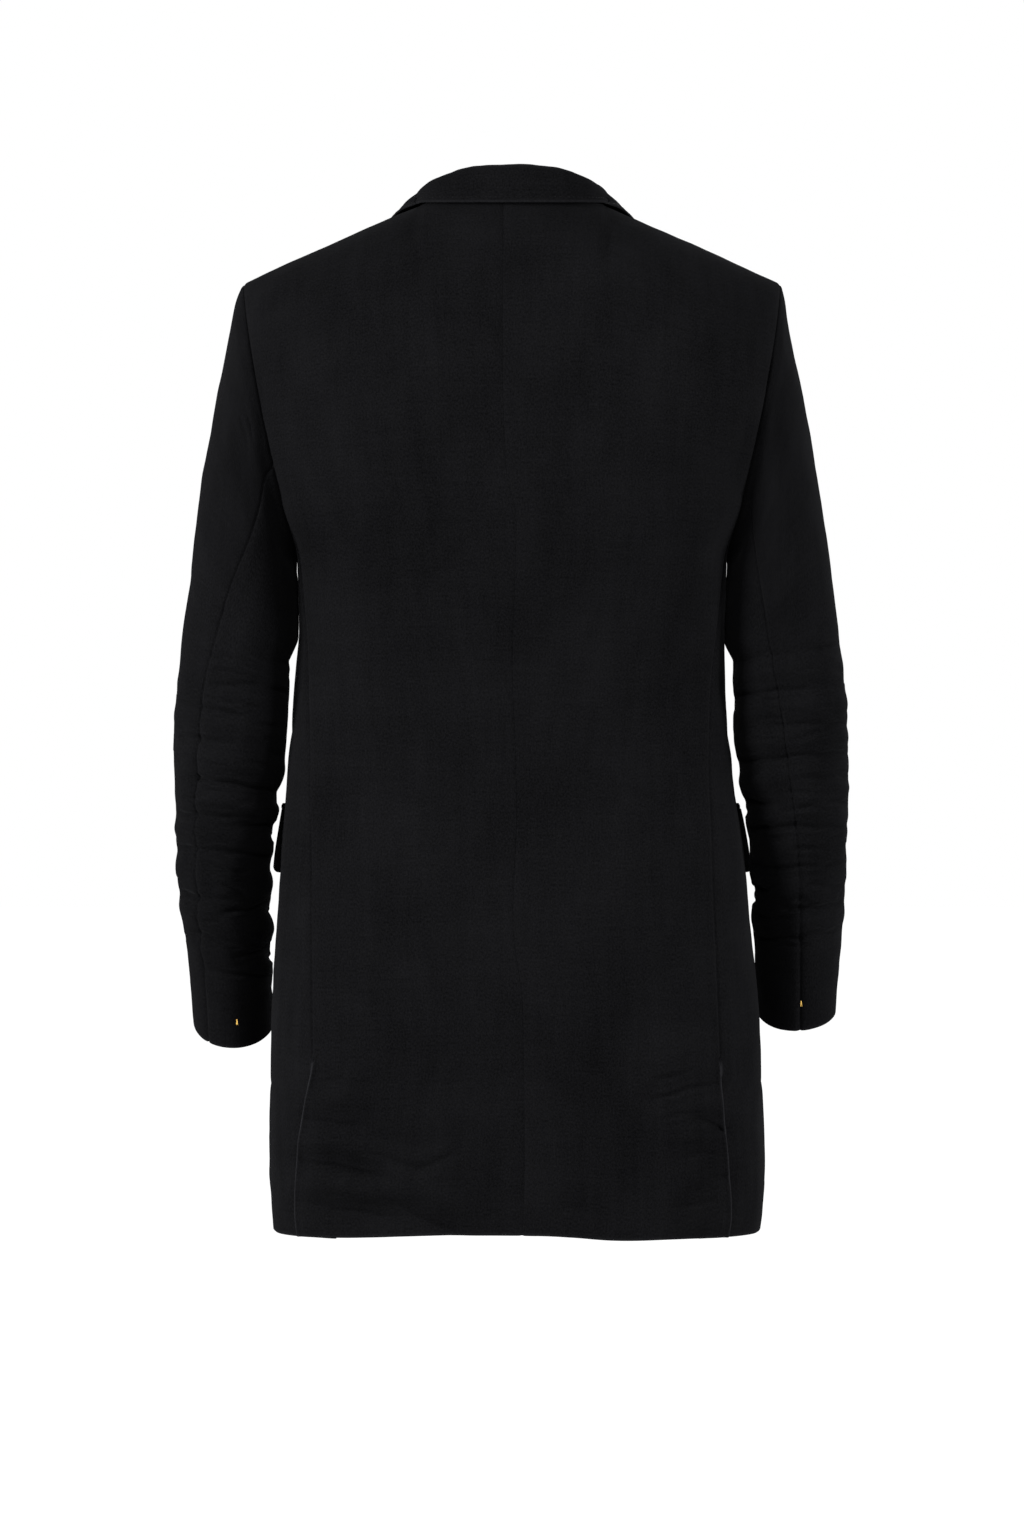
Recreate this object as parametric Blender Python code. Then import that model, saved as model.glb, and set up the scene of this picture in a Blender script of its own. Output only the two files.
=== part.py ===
"""A longline blazer in its worn form: hollow, and open at the neck, the front, the cuffs and the hem.

Metres, +Z up. The front faces -Y and the wearer's left is +X. The origin is the middle of the neck
opening, level with the point where the collar meets the shoulder line. The sizes and tables below are
in centimetres, and mesh_piece turns them into metres.
"""

import bmesh
import bpy
import numpy as np
from mathutils import Vector

CM = 0.01

# Cloth and seams.
WALL = 0.20
SEAM_GAP = 0.03
ARMHOLE_GAP = 0.04
LAID_GAP = 0.05
LAPEL_GAP = 0.10
LEFT = 1
RIGHT = -1
SIDES = {"left": LEFT, "right": RIGHT}

# Shoulders and neck.
NECK_HALF_WIDTH = 7.9
NECK_SIDE_HEIGHT = 0.55
NECK_BACK_HEIGHT = 0.50
SHOULDER_HALF_WIDTH = 23.1
SHOULDER_TIP_HEIGHT = -6.1

# The armhole is an ellipse in a plane that leans in towards the underarm.
UNDERARM_X = 18.4
UNDERARM_HEIGHT = -29.5
ARMHOLE_HALF_DEPTH = 6.8
ARMHOLE_MIDDLE_Y = -0.1
ARMHOLE_BOW = 0.4
ARMHOLE_SEAM_HEIGHT = -24.5

# How square a level section of the body is: 2 is an ellipse.
SQUARENESS = 2.5
CHEST_HALF_WIDTH = 20.3
CHEST_SEAM = 19.67
SWELL_FOOT = ARMHOLE_SEAM_HEIGHT - 7.0
LEVEL_ROWS_FROM = ARMHOLE_SEAM_HEIGHT - 14.0

# Hem, side vents and front edge.
HEM_BACK = -87.0
HEM_SIDE = -87.5
HEM_FRONT = -88.6
HEM_DIP_RIGHT = 0.4
HEM_DIP_DISTANCE = 8.5
HEM_DIP_HALF_WIDTH = 4.5
VENT_TOP = -72.2
VENT_LIFT = 0.46
VENT_UNDERLAP = 2.2
VENT_LIFT_FROM = -69.0
VENT_LIFT_FULL = -72.3
UNDERLAP_FROM = -73.6
UNDERLAP_FULL = -76.0
HEM_REACH = 18.0
HEM_TURN = 20.0

# The left front lies over the right one, by a step that fades out towards the side. Where the
# lapels end it stands off further, to leave room for the right lapel's foot.
OVERLAP_STEP = 0.30
OVERLAP_FROM = -24.6
OVERLAP_FULL = -31.0
OVERLAP_REACH = (2.2, 6.5)
LAPEL_ROOM = 0.32
LAPEL_ROOM_TOP = (-27.0, -32.5)
LAPEL_ROOM_FOOT = (-43.5, -48.5)

# Collar, lapels, pocket flaps and buttons.
COLLAR_ROLL = 0.5
COLLAR_LIFT = 0.40
STAND_INSET = 0.18
STAND_END = 0.76
GORGE_HEIGHT = -3.9
GORGE_DROP = 0.6
GORGE_SHARE = 0.53
GORGE_GAP = 0.06
LAPEL_FOOT_HEIGHT = -42.3
LAPEL_ROLL = 0.35
FLAP_TOP = -51.4
FLAP_HEIGHT = 5.5
FLAP_REAR_TURN = 92.0
FLAP_FRONT_TURN = 152.0
FLAP_CORNER = 0.5
FLAP_STAND_OFF = 0.35
BUTTON_HEIGHTS = {"upper": -45.2, "lower": -56.0}
BUTTON_RADIUS = 1.05
BUTTON_THICKNESS = 0.32

# Finishes.
WOOL_COLOUR = (0.012, 0.012, 0.013)
WOOL_ROUGHNESS = 0.85
BUTTON_COLOUR = (0.01, 0.01, 0.01)
BUTTON_ROUGHNESS = 0.35


class Table:
    """Rows of sizes with named columns. The first column says where each row stands."""

    def __init__(self, names, *rows):
        self.key = names.split()[0]
        self.columns = dict(zip(names.split(), np.array(rows, float).T))

    def at(self, name, place):
        """One column's value between the rows, on a curve that never overshoots them."""
        keys = self.columns[self.key]
        values = self.columns[name]
        if keys[0] > keys[-1]:
            keys = keys[::-1]
            values = values[::-1]
        step = np.diff(keys)
        slope = np.diff(values) / step
        same_way = slope[:-1] * slope[1:] > 0
        safe_a = np.where(same_way, slope[:-1], 1.0)
        safe_b = np.where(same_way, slope[1:], 1.0)
        weight_a = 2 * step[1:] + step[:-1]
        weight_b = step[1:] + 2 * step[:-1]
        mean = (weight_a + weight_b) / (weight_a / safe_a + weight_b / safe_b)
        tangent = np.concatenate([slope[:1], np.where(same_way, mean, 0.0), slope[-1:]])
        place = np.clip(place, keys[0], keys[-1])
        cell = np.clip(np.searchsorted(keys, place) - 1, 0, len(step) - 1)
        part = (place - keys[cell]) / step[cell]
        value = values[cell] * (1 + 2 * part) * (1 - part) ** 2
        value += values[cell + 1] * part**2 * (3 - 2 * part)
        value += step[cell] * tangent[cell] * part * (1 - part) ** 2
        value -= step[cell] * tangent[cell + 1] * part**2 * (1 - part)
        return value

    def rows(self):
        """Each row as a dictionary of its named columns."""
        return [dict(zip(self.columns, row)) for row in zip(*self.columns.values())]


# The body, from the neck down: half width at the side, depth behind and in front of the middle
# plane, how far the middle line stands to the left, and the two side seams' distance from it.
BODY = Table(
    "height half_width back_depth front_depth lean back_seam front_seam",
    (1.0, CHEST_HALF_WIDTH, 7.3, 6.6, 0.0, CHEST_SEAM, CHEST_SEAM),
    (-4.0, CHEST_HALF_WIDTH, 9.3, 8.8, 0.0, CHEST_SEAM, CHEST_SEAM),
    (-9.0, CHEST_HALF_WIDTH, 10.9, 10.8, 0.0, CHEST_SEAM, CHEST_SEAM),
    (-14.5, CHEST_HALF_WIDTH, 11.8, 12.2, 0.0, CHEST_SEAM, CHEST_SEAM),
    (-20.0, CHEST_HALF_WIDTH, 12.0, 12.8, 0.0, CHEST_SEAM, CHEST_SEAM),
    (-24.5, CHEST_HALF_WIDTH, 11.8, 12.9, 0.0, CHEST_SEAM, CHEST_SEAM),
    (-30.0, 18.65, 11.1, 12.6, 0.0, 18.15, 18.1),
    (-36.0, 18.4, 10.0, 12.0, 0.05, 17.6, 17.5),
    (-42.0, 18.6, 9.1, 11.4, 0.2, 17.2, 17.2),
    (-48.0, 19.2, 9.1, 11.3, 0.2, 17.0, 17.2),
    (-54.0, 19.9, 9.9, 11.7, 0.0, 17.0, 17.5),
    (-61.0, 20.4, 10.8, 12.1, -0.1, 17.1, 17.8),
    (-69.0, 20.9, 11.3, 12.4, -0.3, 17.2, 18.0),
    (-76.0, 21.2, 11.3, 12.5, -0.4, 17.3, 18.1),
    (-82.0, 21.3, 11.1, 12.6, -0.45, 17.4, 18.1),
    (-86.0, 21.1, 10.9, 12.6, -0.45, 17.5, 18.0),
    (-89.0, 20.8, 10.7, 12.6, -0.4, 17.5, 17.9),
)

# The free edge of each back below the top of its vent, from the middle line.
VENT_EDGE = Table(
    "height left right",
    (-72.5, 17.2, 17.2),
    (-76.6, 18.1, 17.5),
    (-81.0, 18.75, 17.9),
    (-85.4, 18.95, 18.15),
    (-88.5, 18.5, 17.75),
)

# The centre back seam wavers a little to either side of the middle line.
BACK_SEAM = Table(
    "height shift",
    (1.0, 0.75),
    (-14.0, 0.85),
    (-23.0, 0.55),
    (-27.0, -0.45),
    (-37.0, -0.2),
    (-49.0, -0.75),
    (-61.0, 0.0),
    (-68.0, -0.85),
    (-80.0, -0.8),
    (-89.0, -0.45),
)

# The inner edge of each front: neckline, roll line of the lapel, closing edge and rounded foot.
FRONT_EDGE = Table(
    "height distance",
    (0.6, 7.9),
    (-1.8, 7.45),
    (-3.9, 6.7),
    (-13.5, 4.55),
    (-23.1, 2.4),
    (-32.7, 0.25),
    (-42.3, -1.9),
    (-72.0, -2.0),
    (-79.0, -1.4),
    (-84.0, 0.6),
    (-87.0, 3.3),
    (-88.6, 6.6),
)

# Each sleeve, by the height of its outer edge: outer and inner edge seen from behind, the inner
# edge's own height, half its depth, where its middle lies, and how far its rear hangs lower.
SLEEVE = Table(
    "height out_left out_right in_left in_right in_height half_depth middle_y rear_drop",
    (-6.1, 23.1, 23.1, 18.4, 18.4, -29.5, 6.8, -0.1, 0.0),
    (-8.2, 23.85, 23.5, 18.95, 18.95, -30.2, 6.9, -0.1, 0.0),
    (-11.8, 24.6, 24.2, 19.15, 19.1, -31.1, 7.0, -0.2, 0.0),
    (-16.0, 25.5, 25.15, 19.15, 19.1, -32.2, 7.0, -0.3, 0.0),
    (-20.4, 26.3, 25.95, 19.2, 19.1, -33.6, 7.0, -0.4, 0.0),
    (-24.7, 27.0, 26.65, 19.2, 19.1, -35.2, 6.9, -0.45, 0.1),
    (-29.0, 27.5, 27.3, 19.2, 19.1, -37.0, 6.8, -0.5, 0.2),
    (-33.4, 28.0, 27.85, 19.2, 19.1, -39.0, 6.6, -0.55, 0.35),
    (-37.7, 28.6, 28.4, 19.25, 19.1, -41.3, 6.4, -0.6, 0.5),
    (-42.0, 29.0, 28.9, 19.35, 19.2, -44.2, 6.2, -0.8, 0.75),
    (-46.3, 29.2, 29.05, 19.7, 19.5, -47.6, 6.1, -1.3, 1.0),
    (-50.6, 29.2, 29.1, 20.35, 20.1, -51.4, 6.0, -2.0, 1.25),
    (-55.0, 29.1, 29.05, 20.85, 20.7, -55.5, 5.9, -3.0, 1.5),
    (-59.2, 28.9, 28.95, 20.95, 20.9, -59.6, 5.7, -3.9, 1.65),
    (-63.5, 28.3, 28.75, 20.95, 21.1, -63.9, 5.5, -4.9, 1.8),
    (-69.9, 27.85, 28.3, 21.0, 21.5, -70.3, 5.2, -6.4, 1.9),
)
CUFF_HEIGHT = -69.9
ELBOW_HEIGHT = -45.0
BOW_FOOT = -16.0
RIGHT_CUFF_RAISED = 1.1
RIGHT_REAR_DROP = 0.8

# Where the two sleeve seams run, in degrees round from the outer edge by way of the back.
SLEEVE_SEAMS = Table(
    "height hind_left hind_right fore_left fore_right",
    (-6.1, 112.0, 125.0, 245.0, 240.0),
    (-20.0, 100.0, 120.0, 245.0, 240.0),
    (-32.0, 75.0, 112.0, 245.0, 240.0),
    (-42.0, 60.0, 102.0, 242.0, 240.0),
    (-52.0, 58.0, 95.0, 238.0, 240.0),
    (-70.0, 56.0, 90.0, 236.0, 240.0),
)

# The collar on one side, from the middle of the back, 0, to the gorge, 1. A place on the body is a
# distance from the middle line and a row above the armhole seam, behind (+) or in front (-): the
# neck seam and the outer edge. The rise goes from the neck seam to the fold.
COLLAR = Table(
    "along neck_distance neck_row edge_distance edge_row rise_x rise_y rise_z",
    (-0.20, -3.4, 0.0, -3.9, 0.13, 0.1, -0.75, 2.75),
    (0.00, 0.0, 0.0, 0.0, 0.13, 0.0, -0.8, 2.9),
    (0.20, 3.4, 0.0, 3.9, 0.13, -0.1, -0.75, 2.75),
    (0.38, 6.0, 0.0, 6.5, 0.12, -0.35, -0.5, 2.3),
    (0.50, 7.3, 0.0, 8.5, 0.08, -0.6, -0.1, 1.8),
    (0.60, 7.9, 0.0, 9.8, 0.0, -0.65, 0.15, 1.35),
    (0.72, 7.85, -0.13, 11.1, -0.12, -0.5, 0.2, 1.0),
    (0.86, 7.46, -0.25, 12.3, -0.22, -0.2, 0.1, 0.65),
    (1.00, 6.7, -0.351, 12.9, -0.318, 0.1, -0.15, 0.4),
)

# The free edge of a lapel, from its corner, 0, to its foot, 1.
LAPEL_EDGE = Table(
    "along distance height",
    (0.00, 13.7, -7.9),
    (0.25, 12.0, -16.5),
    (0.50, 8.8, -25.5),
    (0.75, 4.2, -34.6),
    (1.00, -1.7, -42.2),
)

# Crumples in the sleeves, each from one end to the other: degrees round from the outer edge by way
# of the back, height, half width and depth.
CRUMPLE_COLUMNS = "from_angle from_height to_angle to_height half_width depth"
CRUMPLES = {
    LEFT: Table(
        CRUMPLE_COLUMNS,
        (65, -40.8, 125, -40.8, 0.7, 0.20),
        (15, -41.9, 107, -43.3, 0.7, 0.22),
        (15, -44.7, 90, -45.8, 0.7, 0.20),
        (57, -48.8, 168, -49.7, 0.9, 0.45),
        (15, -51.4, 112, -52.3, 0.8, 0.25),
        (109, -52.8, 175, -52.6, 0.8, 0.45),
        (10, -54.6, 160, -55.4, 0.8, 0.30),
        (5, -58.4, 100, -59.0, 0.8, 0.40),
        (90, -60.2, 165, -59.2, 0.8, 0.45),
        (50, -62.0, 105, -63.0, 0.8, 0.28),
        (105, -64.2, 178, -62.9, 0.8, 0.40),
        (50, -65.0, 165, -66.0, 0.8, 0.18),
    ),
    RIGHT: Table(
        CRUMPLE_COLUMNS,
        (20, -37.4, 140, -38.6, 0.8, 0.18),
        (20, -40.4, 165, -41.8, 0.8, 0.25),
        (8, -43.7, 125, -44.4, 0.8, 0.28),
        (8, -46.4, 155, -47.1, 0.8, 0.35),
        (10, -48.4, 85, -48.6, 0.7, 0.22),
        (120, -50.8, 175, -50.6, 0.8, 0.42),
        (10, -50.6, 62, -50.8, 0.7, 0.30),
        (20, -52.6, 150, -53.1, 0.8, 0.30),
        (10, -54.6, 95, -54.8, 0.7, 0.25),
        (25, -56.2, 140, -56.3, 0.7, 0.25),
        (135, -58.4, 178, -58.2, 0.8, 0.40),
        (15, -57.8, 80, -58.0, 0.7, 0.38),
        (15, -59.2, 115, -60.0, 0.8, 0.40),
        (25, -61.8, 150, -62.6, 0.8, 0.22),
    ),
}
HIDDEN_CRUMPLE_SHARE = 0.8
HIDDEN_CRUMPLE_SHIFT = -1.1
INNER_EDGE_CALM = 0.45
INNER_EDGE_REACH = 40.0

# Folds of the back near the hem and under the arms, each from one end to the other: distance from
# the middle line, height, half width and depth. A ridge has a negative depth.
BACK_FOLD_COLUMNS = "from_x from_height to_x to_height half_width depth"
BACK_FOLDS = {
    LEFT: Table(
        BACK_FOLD_COLUMNS,
        (12.6, -74.0, 16.6, -74.0, 1.1, 0.16),
        (12.4, -77.0, 17.8, -77.0, 1.1, 0.20),
        (4.6, -79.3, 12.6, -79.3, 1.3, 0.22),
        (11.0, -81.6, 18.2, -80.6, 1.4, 0.38),
        (5.2, -85.6, 10.6, -82.0, 1.4, 0.34),
        (9.4, -84.0, 16.6, -82.7, 1.1, -0.22),
        (11.4, -84.9, 17.4, -84.2, 1.1, 0.22),
    ),
    RIGHT: Table(
        BACK_FOLD_COLUMNS,
        (12.6, -73.0, 17.0, -72.4, 1.1, 0.16),
        (13.4, -75.2, 17.6, -74.4, 1.1, 0.18),
        (11.2, -76.4, 15.4, -76.9, 1.1, 0.16),
        (13.8, -79.7, 17.6, -79.6, 1.2, 0.22),
        (14.6, -83.6, 18.2, -83.5, 1.2, 0.24),
        (3.6, -85.0, 6.0, -84.8, 1.1, 0.16),
    ),
}


def stack(x, y, z):
    return np.stack(np.broadcast_arrays(x, y, z), axis=-1)


def ramp(place, start, end):
    """0 before start and 1 past end, eased at both."""
    part = np.clip((place - start) / (end - start), 0, 1)
    return part * part * (3 - 2 * part)


def depth_share(part):
    """How deep a level section is at a share of its half width, against its middle."""
    return (1 - np.minimum(np.abs(part), 1) ** SQUARENESS) ** (1 / SQUARENESS)


def folded(at_start, at_end, across, along, half_width, depth):
    """How far a fold pushes its cloth out: across and along are places, the ends lie on along."""
    share = (along - at_start[0]) / (at_end[0] - at_start[0])
    line = at_start[1] + (at_end[1] - at_start[1]) * np.clip(share, -0.3, 1.3)
    off = (across - line) / half_width
    trough = np.exp(-(off**2)) - 0.5 * np.exp(-(((np.abs(off) - 1.9) / 0.9) ** 2))
    return -depth * trough * ramp(share, -0.25, 0.12) * ramp(share, 1.25, 0.88)


# ---------------------------------------------------------------- armhole

ARMHOLE_TOP = np.array([SHOULDER_HALF_WIDTH, SHOULDER_TIP_HEIGHT])
ARMHOLE_FOOT = np.array([UNDERARM_X, UNDERARM_HEIGHT])
ARMHOLE_MIDDLE = (ARMHOLE_TOP + ARMHOLE_FOOT) / 2
ARMHOLE_AXIS = (ARMHOLE_TOP - ARMHOLE_FOOT) / 2
ARMHOLE_TURN = np.arccos((ARMHOLE_SEAM_HEIGHT - ARMHOLE_MIDDLE[1]) / ARMHOLE_AXIS[1])


def armhole(angle, face):
    """A point of the armhole: angle 0 is the shoulder tip, pi the underarm, face 1 the back."""
    x = ARMHOLE_MIDDLE[0] + ARMHOLE_AXIS[0] * np.cos(angle) + ARMHOLE_BOW * np.sin(angle) ** 2
    z = ARMHOLE_MIDDLE[1] + ARMHOLE_AXIS[1] * np.cos(angle)
    y = ARMHOLE_MIDDLE_Y + face * ARMHOLE_HALF_DEPTH * np.sin(angle)
    return x, y, z


def armhole_mitre(side, angle, face):
    """The direction, away from the armhole's middle, in which both walls are cut there."""
    axis = ARMHOLE_AXIS / np.linalg.norm(ARMHOLE_AXIS)
    return stack(side * axis[0] * np.cos(angle), face * np.sin(angle), axis[1] * np.cos(angle))


# ---------------------------------------------------------------- body surface


def shoulder_line(distance):
    """Height of the neckline and the shoulder seam at a distance from the middle."""
    fall = (NECK_SIDE_HEIGHT - SHOULDER_TIP_HEIGHT) / (SHOULDER_HALF_WIDTH - NECK_HALF_WIDTH)
    distance = np.abs(distance)
    past_neck = np.maximum(distance - NECK_HALF_WIDTH, 0)
    inside = np.clip(distance / NECK_HALF_WIDTH, 0, 1)
    neck = NECK_BACK_HEIGHT + (NECK_SIDE_HEIGHT - NECK_BACK_HEIGHT) * inside**2
    return neck - fall * past_neck


def drop_share(down):
    """How far a row above the armhole seam has come down, from 0 to 1. down runs 0 to 1 too."""
    angle = down * ARMHOLE_TURN
    return (1 - np.cos(angle)) / (1 - np.cos(ARMHOLE_TURN))


def chest_share(part, seam_share, swell):
    """Share of the middle's depth above the armhole seam, at a share of the armhole's x."""
    full = depth_share(part * seam_share)
    rim = depth_share(seam_share)
    return swell * (full - rim) / (1 - rim)


def upper_depth(face, distance, rim_x, height, down):
    """y of a point above the armhole seam, at a distance from the middle line."""
    angle = down * ARMHOLE_TURN
    swell = np.where(angle < np.pi / 2, np.sin(np.minimum(angle, np.pi / 2)) ** 0.8, 1.0)
    part = np.abs(distance) / rim_x
    share = chest_share(part, CHEST_SEAM / CHEST_HALF_WIDTH, swell)
    depth = BODY.at("back_depth" if face > 0 else "front_depth", height)
    if face > 0:
        neck = np.sqrt(np.maximum(1 - (distance / NECK_HALF_WIDTH) ** 2, 0))
        share = share + neck * (1 - swell)
    rim_y = armhole(angle, face)[1]
    return rim_y + (face * depth - rim_y) * share


def lower_depth(face, distance, height):
    """y of a point below the armhole seam, at a distance from the middle line."""
    name = "back" if face > 0 else "front"
    seam = BODY.at(name + "_seam", height)
    width = BODY.at("half_width", height)
    depth = BODY.at(name + "_depth", height)
    rim = depth_share(seam / width)
    share = depth_share(distance / width)
    y = face * depth * share
    # Just under the armhole seam the section still swells out to meet the armhole.
    top_depth = BODY.at(name + "_depth", ARMHOLE_SEAM_HEIGHT)
    top_rim = top_depth * depth_share(CHEST_SEAM / CHEST_HALF_WIDTH)
    missing = armhole(ARMHOLE_TURN, face)[1] - face * top_rim
    fade = 1 - ramp(height, ARMHOLE_SEAM_HEIGHT, SWELL_FOOT)
    inside = np.clip((share - rim) / (1 - rim), 0, 1)
    return y + missing * fade * (1 - inside)


def hem_height(side, face, distance):
    """Height of the hem at a distance from the middle line, behind or in front."""
    if face > 0:
        off = (distance - HEM_DIP_DISTANCE) / HEM_DIP_HALF_WIDTH
        dip = HEM_DIP_RIGHT * np.exp(-(off**2)) * (side == RIGHT)
        return HEM_BACK + (HEM_SIDE - HEM_BACK) * ramp(distance, 4, HEM_TURN) - dip
    return HEM_FRONT + (HEM_SIDE - HEM_FRONT) * ramp(distance, 2, HEM_TURN)


def row_height(down, foot):
    """Height of a row below the armhole seam: down runs from 1 there to 2 at the hem."""
    return ARMHOLE_SEAM_HEIGHT + (foot - ARMHOLE_SEAM_HEIGHT) * (down - 1)


def middle_line(height):
    return BODY.at("lean", height)


def back_surface(side, across, down):
    """The back: across runs from the centre seam, 0, to the armhole and side seam, 1."""
    plain = back_form(side, across, down)
    shift = BACK_SEAM.at("shift", plain[..., 2]) * (1 - ramp(across, 0.0, 0.8))
    points = back_form(side, across + side * shift / SHOULDER_HALF_WIDTH, down)
    distance = np.abs(points[..., 0] - middle_line(points[..., 2]))
    points[..., 1] += back_folds(side, distance, points[..., 2])
    return points


def back_folds(side, distance, height):
    """How far the folds near the hem push the back out, and the underlap behind it."""
    push = np.zeros(np.broadcast(distance, height).shape)
    for fold in BACK_FOLDS[side].rows():
        start = (fold["from_x"], fold["from_height"])
        end = (fold["to_x"], fold["to_height"])
        push += folded(start, end, height, distance, fold["half_width"], fold["depth"])
    return push


def back_form(side, across, down):
    """The back before its folds, with its centre seam on the middle line."""
    across, down = np.broadcast_arrays(across, down)
    upper = np.minimum(down, 1)
    rim_x, _, rim_z = armhole(upper * ARMHOLE_TURN, 1)
    top = shoulder_line(across * SHOULDER_HALF_WIDTH)
    height = top + (ARMHOLE_SEAM_HEIGHT - top) * drop_share(upper)
    height = np.where(across >= 1, rim_z, height)
    upper_y = upper_depth(1, across * rim_x, rim_x, height, upper)
    foot = hem_height(side, 1, across * HEM_REACH)
    low = row_height(np.maximum(down, 1), foot)
    edge = np.where(
        low > VENT_TOP,
        BODY.at("back_seam", low),
        VENT_EDGE.at("left" if side == LEFT else "right", low),
    )
    low_y = lower_depth(1, across * edge, low)
    lift = VENT_LIFT * ramp(low, VENT_LIFT_FROM, VENT_LIFT_FULL)
    low_y = low_y + lift * ramp(across, 0.5, 0.78)
    above = down < 1
    z = np.where(above, height, low)
    x = np.where(above, across * rim_x, across * edge)
    return stack(side * x + middle_line(z), np.where(above, upper_y, low_y), z)


def side_surface(side, across, down):
    """The side body: across runs from the back seam, 0, to the front seam, 1. down starts at 1."""
    across, down = np.broadcast_arrays(across, down)
    foot = np.full(across.shape, HEM_SIDE)
    edge_height = row_height(down, foot)
    span = ARMHOLE_SEAM_HEIGHT - LEVEL_ROWS_FROM
    sag = 1 - np.clip((ARMHOLE_SEAM_HEIGHT - edge_height) / span, 0, 1)
    angle = ARMHOLE_TURN + (2 * np.pi - 2 * ARMHOLE_TURN) * across
    rim_x, _, rim_z = armhole(angle, 1)
    rim_y = ARMHOLE_MIDDLE_Y + ARMHOLE_HALF_DEPTH * np.sin(angle)
    height = edge_height + (rim_z - ARMHOLE_SEAM_HEIGHT) * sag
    x, y = side_section(height, across)
    rim_section_x, rim_section_y = side_section(rim_z, across)
    fade = 1 - ramp(edge_height, ARMHOLE_SEAM_HEIGHT, SWELL_FOOT)
    x = x + (rim_x - rim_section_x) * fade
    y = y + (rim_y - rim_section_y) * fade
    y = y + back_folds(side, x, height) * ramp(y, 3.0, 5.5)
    return stack(side * x + middle_line(height), y, height)


def side_section(height, across):
    """The level section between the two side seams, as x and y."""
    width = BODY.at("half_width", height)
    underlap = VENT_UNDERLAP * ramp(height, UNDERLAP_FROM, UNDERLAP_FULL)
    back_edge = BODY.at("back_seam", height) - underlap
    front_edge = BODY.at("front_seam", height)
    back_turn = np.arcsin(np.clip(back_edge / width, 0, 1) ** (SQUARENESS / 2))
    front_turn = np.pi - np.arcsin(np.clip(front_edge / width, 0, 1) ** (SQUARENESS / 2))
    turn = back_turn + (front_turn - back_turn) * across
    return level_section(turn, height)


def level_section(turn, height):
    """x and y of a level section below the arms, turn in radians from the middle of the back."""
    width = BODY.at("half_width", height)
    behind = turn < np.pi / 2
    depth = np.where(behind, BODY.at("back_depth", height), BODY.at("front_depth", height))
    power = 2 / SQUARENESS
    x = width * np.sin(turn) ** power
    y = depth * np.sign(np.cos(turn)) * np.abs(np.cos(turn)) ** power
    return x, y


def front_surface(side, across, down):
    """The front: across runs from the armhole and side seam, 0, to the inner edge, 1."""
    across, down = np.broadcast_arrays(across, down)
    upper = np.minimum(down, 1)
    rim_x = armhole(upper * ARMHOLE_TURN, -1)[0]
    edge_height = NECK_SIDE_HEIGHT + (ARMHOLE_SEAM_HEIGHT - NECK_SIDE_HEIGHT) * drop_share(upper)
    top_x = SHOULDER_HALF_WIDTH + (NECK_HALF_WIDTH - SHOULDER_HALF_WIDTH) * across
    top = shoulder_line(top_x)
    height = top + (ARMHOLE_SEAM_HEIGHT - top) * drop_share(upper)
    x = rim_x + (FRONT_EDGE.at("distance", edge_height) - rim_x) * across
    y = upper_depth(-1, x, rim_x, height, upper)
    below = np.maximum(down, 1)
    foot = hem_height(side, -1, HEM_REACH * (1 - across))
    low = row_height(below, foot)
    seam = BODY.at("front_seam", low)
    low_x = seam + (FRONT_EDGE.at("distance", low) - seam) * across
    low_y = lower_depth(-1, low_x, low)
    if side == LEFT:
        # The left front is buttoned over the right one.
        room = LAPEL_ROOM * ramp(low, *LAPEL_ROOM_TOP) * (1 - ramp(low, *LAPEL_ROOM_FOOT))
        step = (OVERLAP_STEP + room) * ramp(low, OVERLAP_FROM, OVERLAP_FULL)
        low_y = low_y - step * (1 - ramp(low_x, *OVERLAP_REACH))
    above = down < 1
    z = np.where(above, height, low)
    return stack(side * np.where(above, x, low_x) + middle_line(z), np.where(above, y, low_y), z)


# ---------------------------------------------------------------- sleeve surface


def sleeve_surface(side, angle, height):
    """A sleeve: angle runs round from its outer edge by way of the back, height is the outer edge's."""
    angle, height = np.broadcast_arrays(angle, height)
    name = "left" if side == LEFT else "right"
    out_x = SLEEVE.at("out_" + name, height)
    in_x = SLEEVE.at("in_" + name, height)
    in_z = SLEEVE.at("in_height", height)
    low_share = ramp(height, ELBOW_HEIGHT, CUFF_HEIGHT)
    drop = SLEEVE.at("rear_drop", height) * np.where(side == RIGHT, RIGHT_REAR_DROP, 1.0)
    lifted = RIGHT_CUFF_RAISED * low_share * (side == RIGHT)
    bow = ARMHOLE_BOW * (1 - ramp(height, SHOULDER_TIP_HEIGHT, BOW_FOOT))
    x = (out_x + in_x) / 2 + (out_x - in_x) / 2 * np.cos(angle) + bow * np.sin(angle) ** 2
    z = (height + in_z) / 2 + (height - in_z) / 2 * np.cos(angle) - drop * np.sin(angle) + lifted
    y = SLEEVE.at("middle_y", height) + SLEEVE.at("half_depth", height) * np.sin(angle)
    push = crumpled(side, np.degrees(angle) % 360, z)
    return stack(side * (x + push * np.cos(angle)), y + push * np.sin(angle), z)


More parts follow.
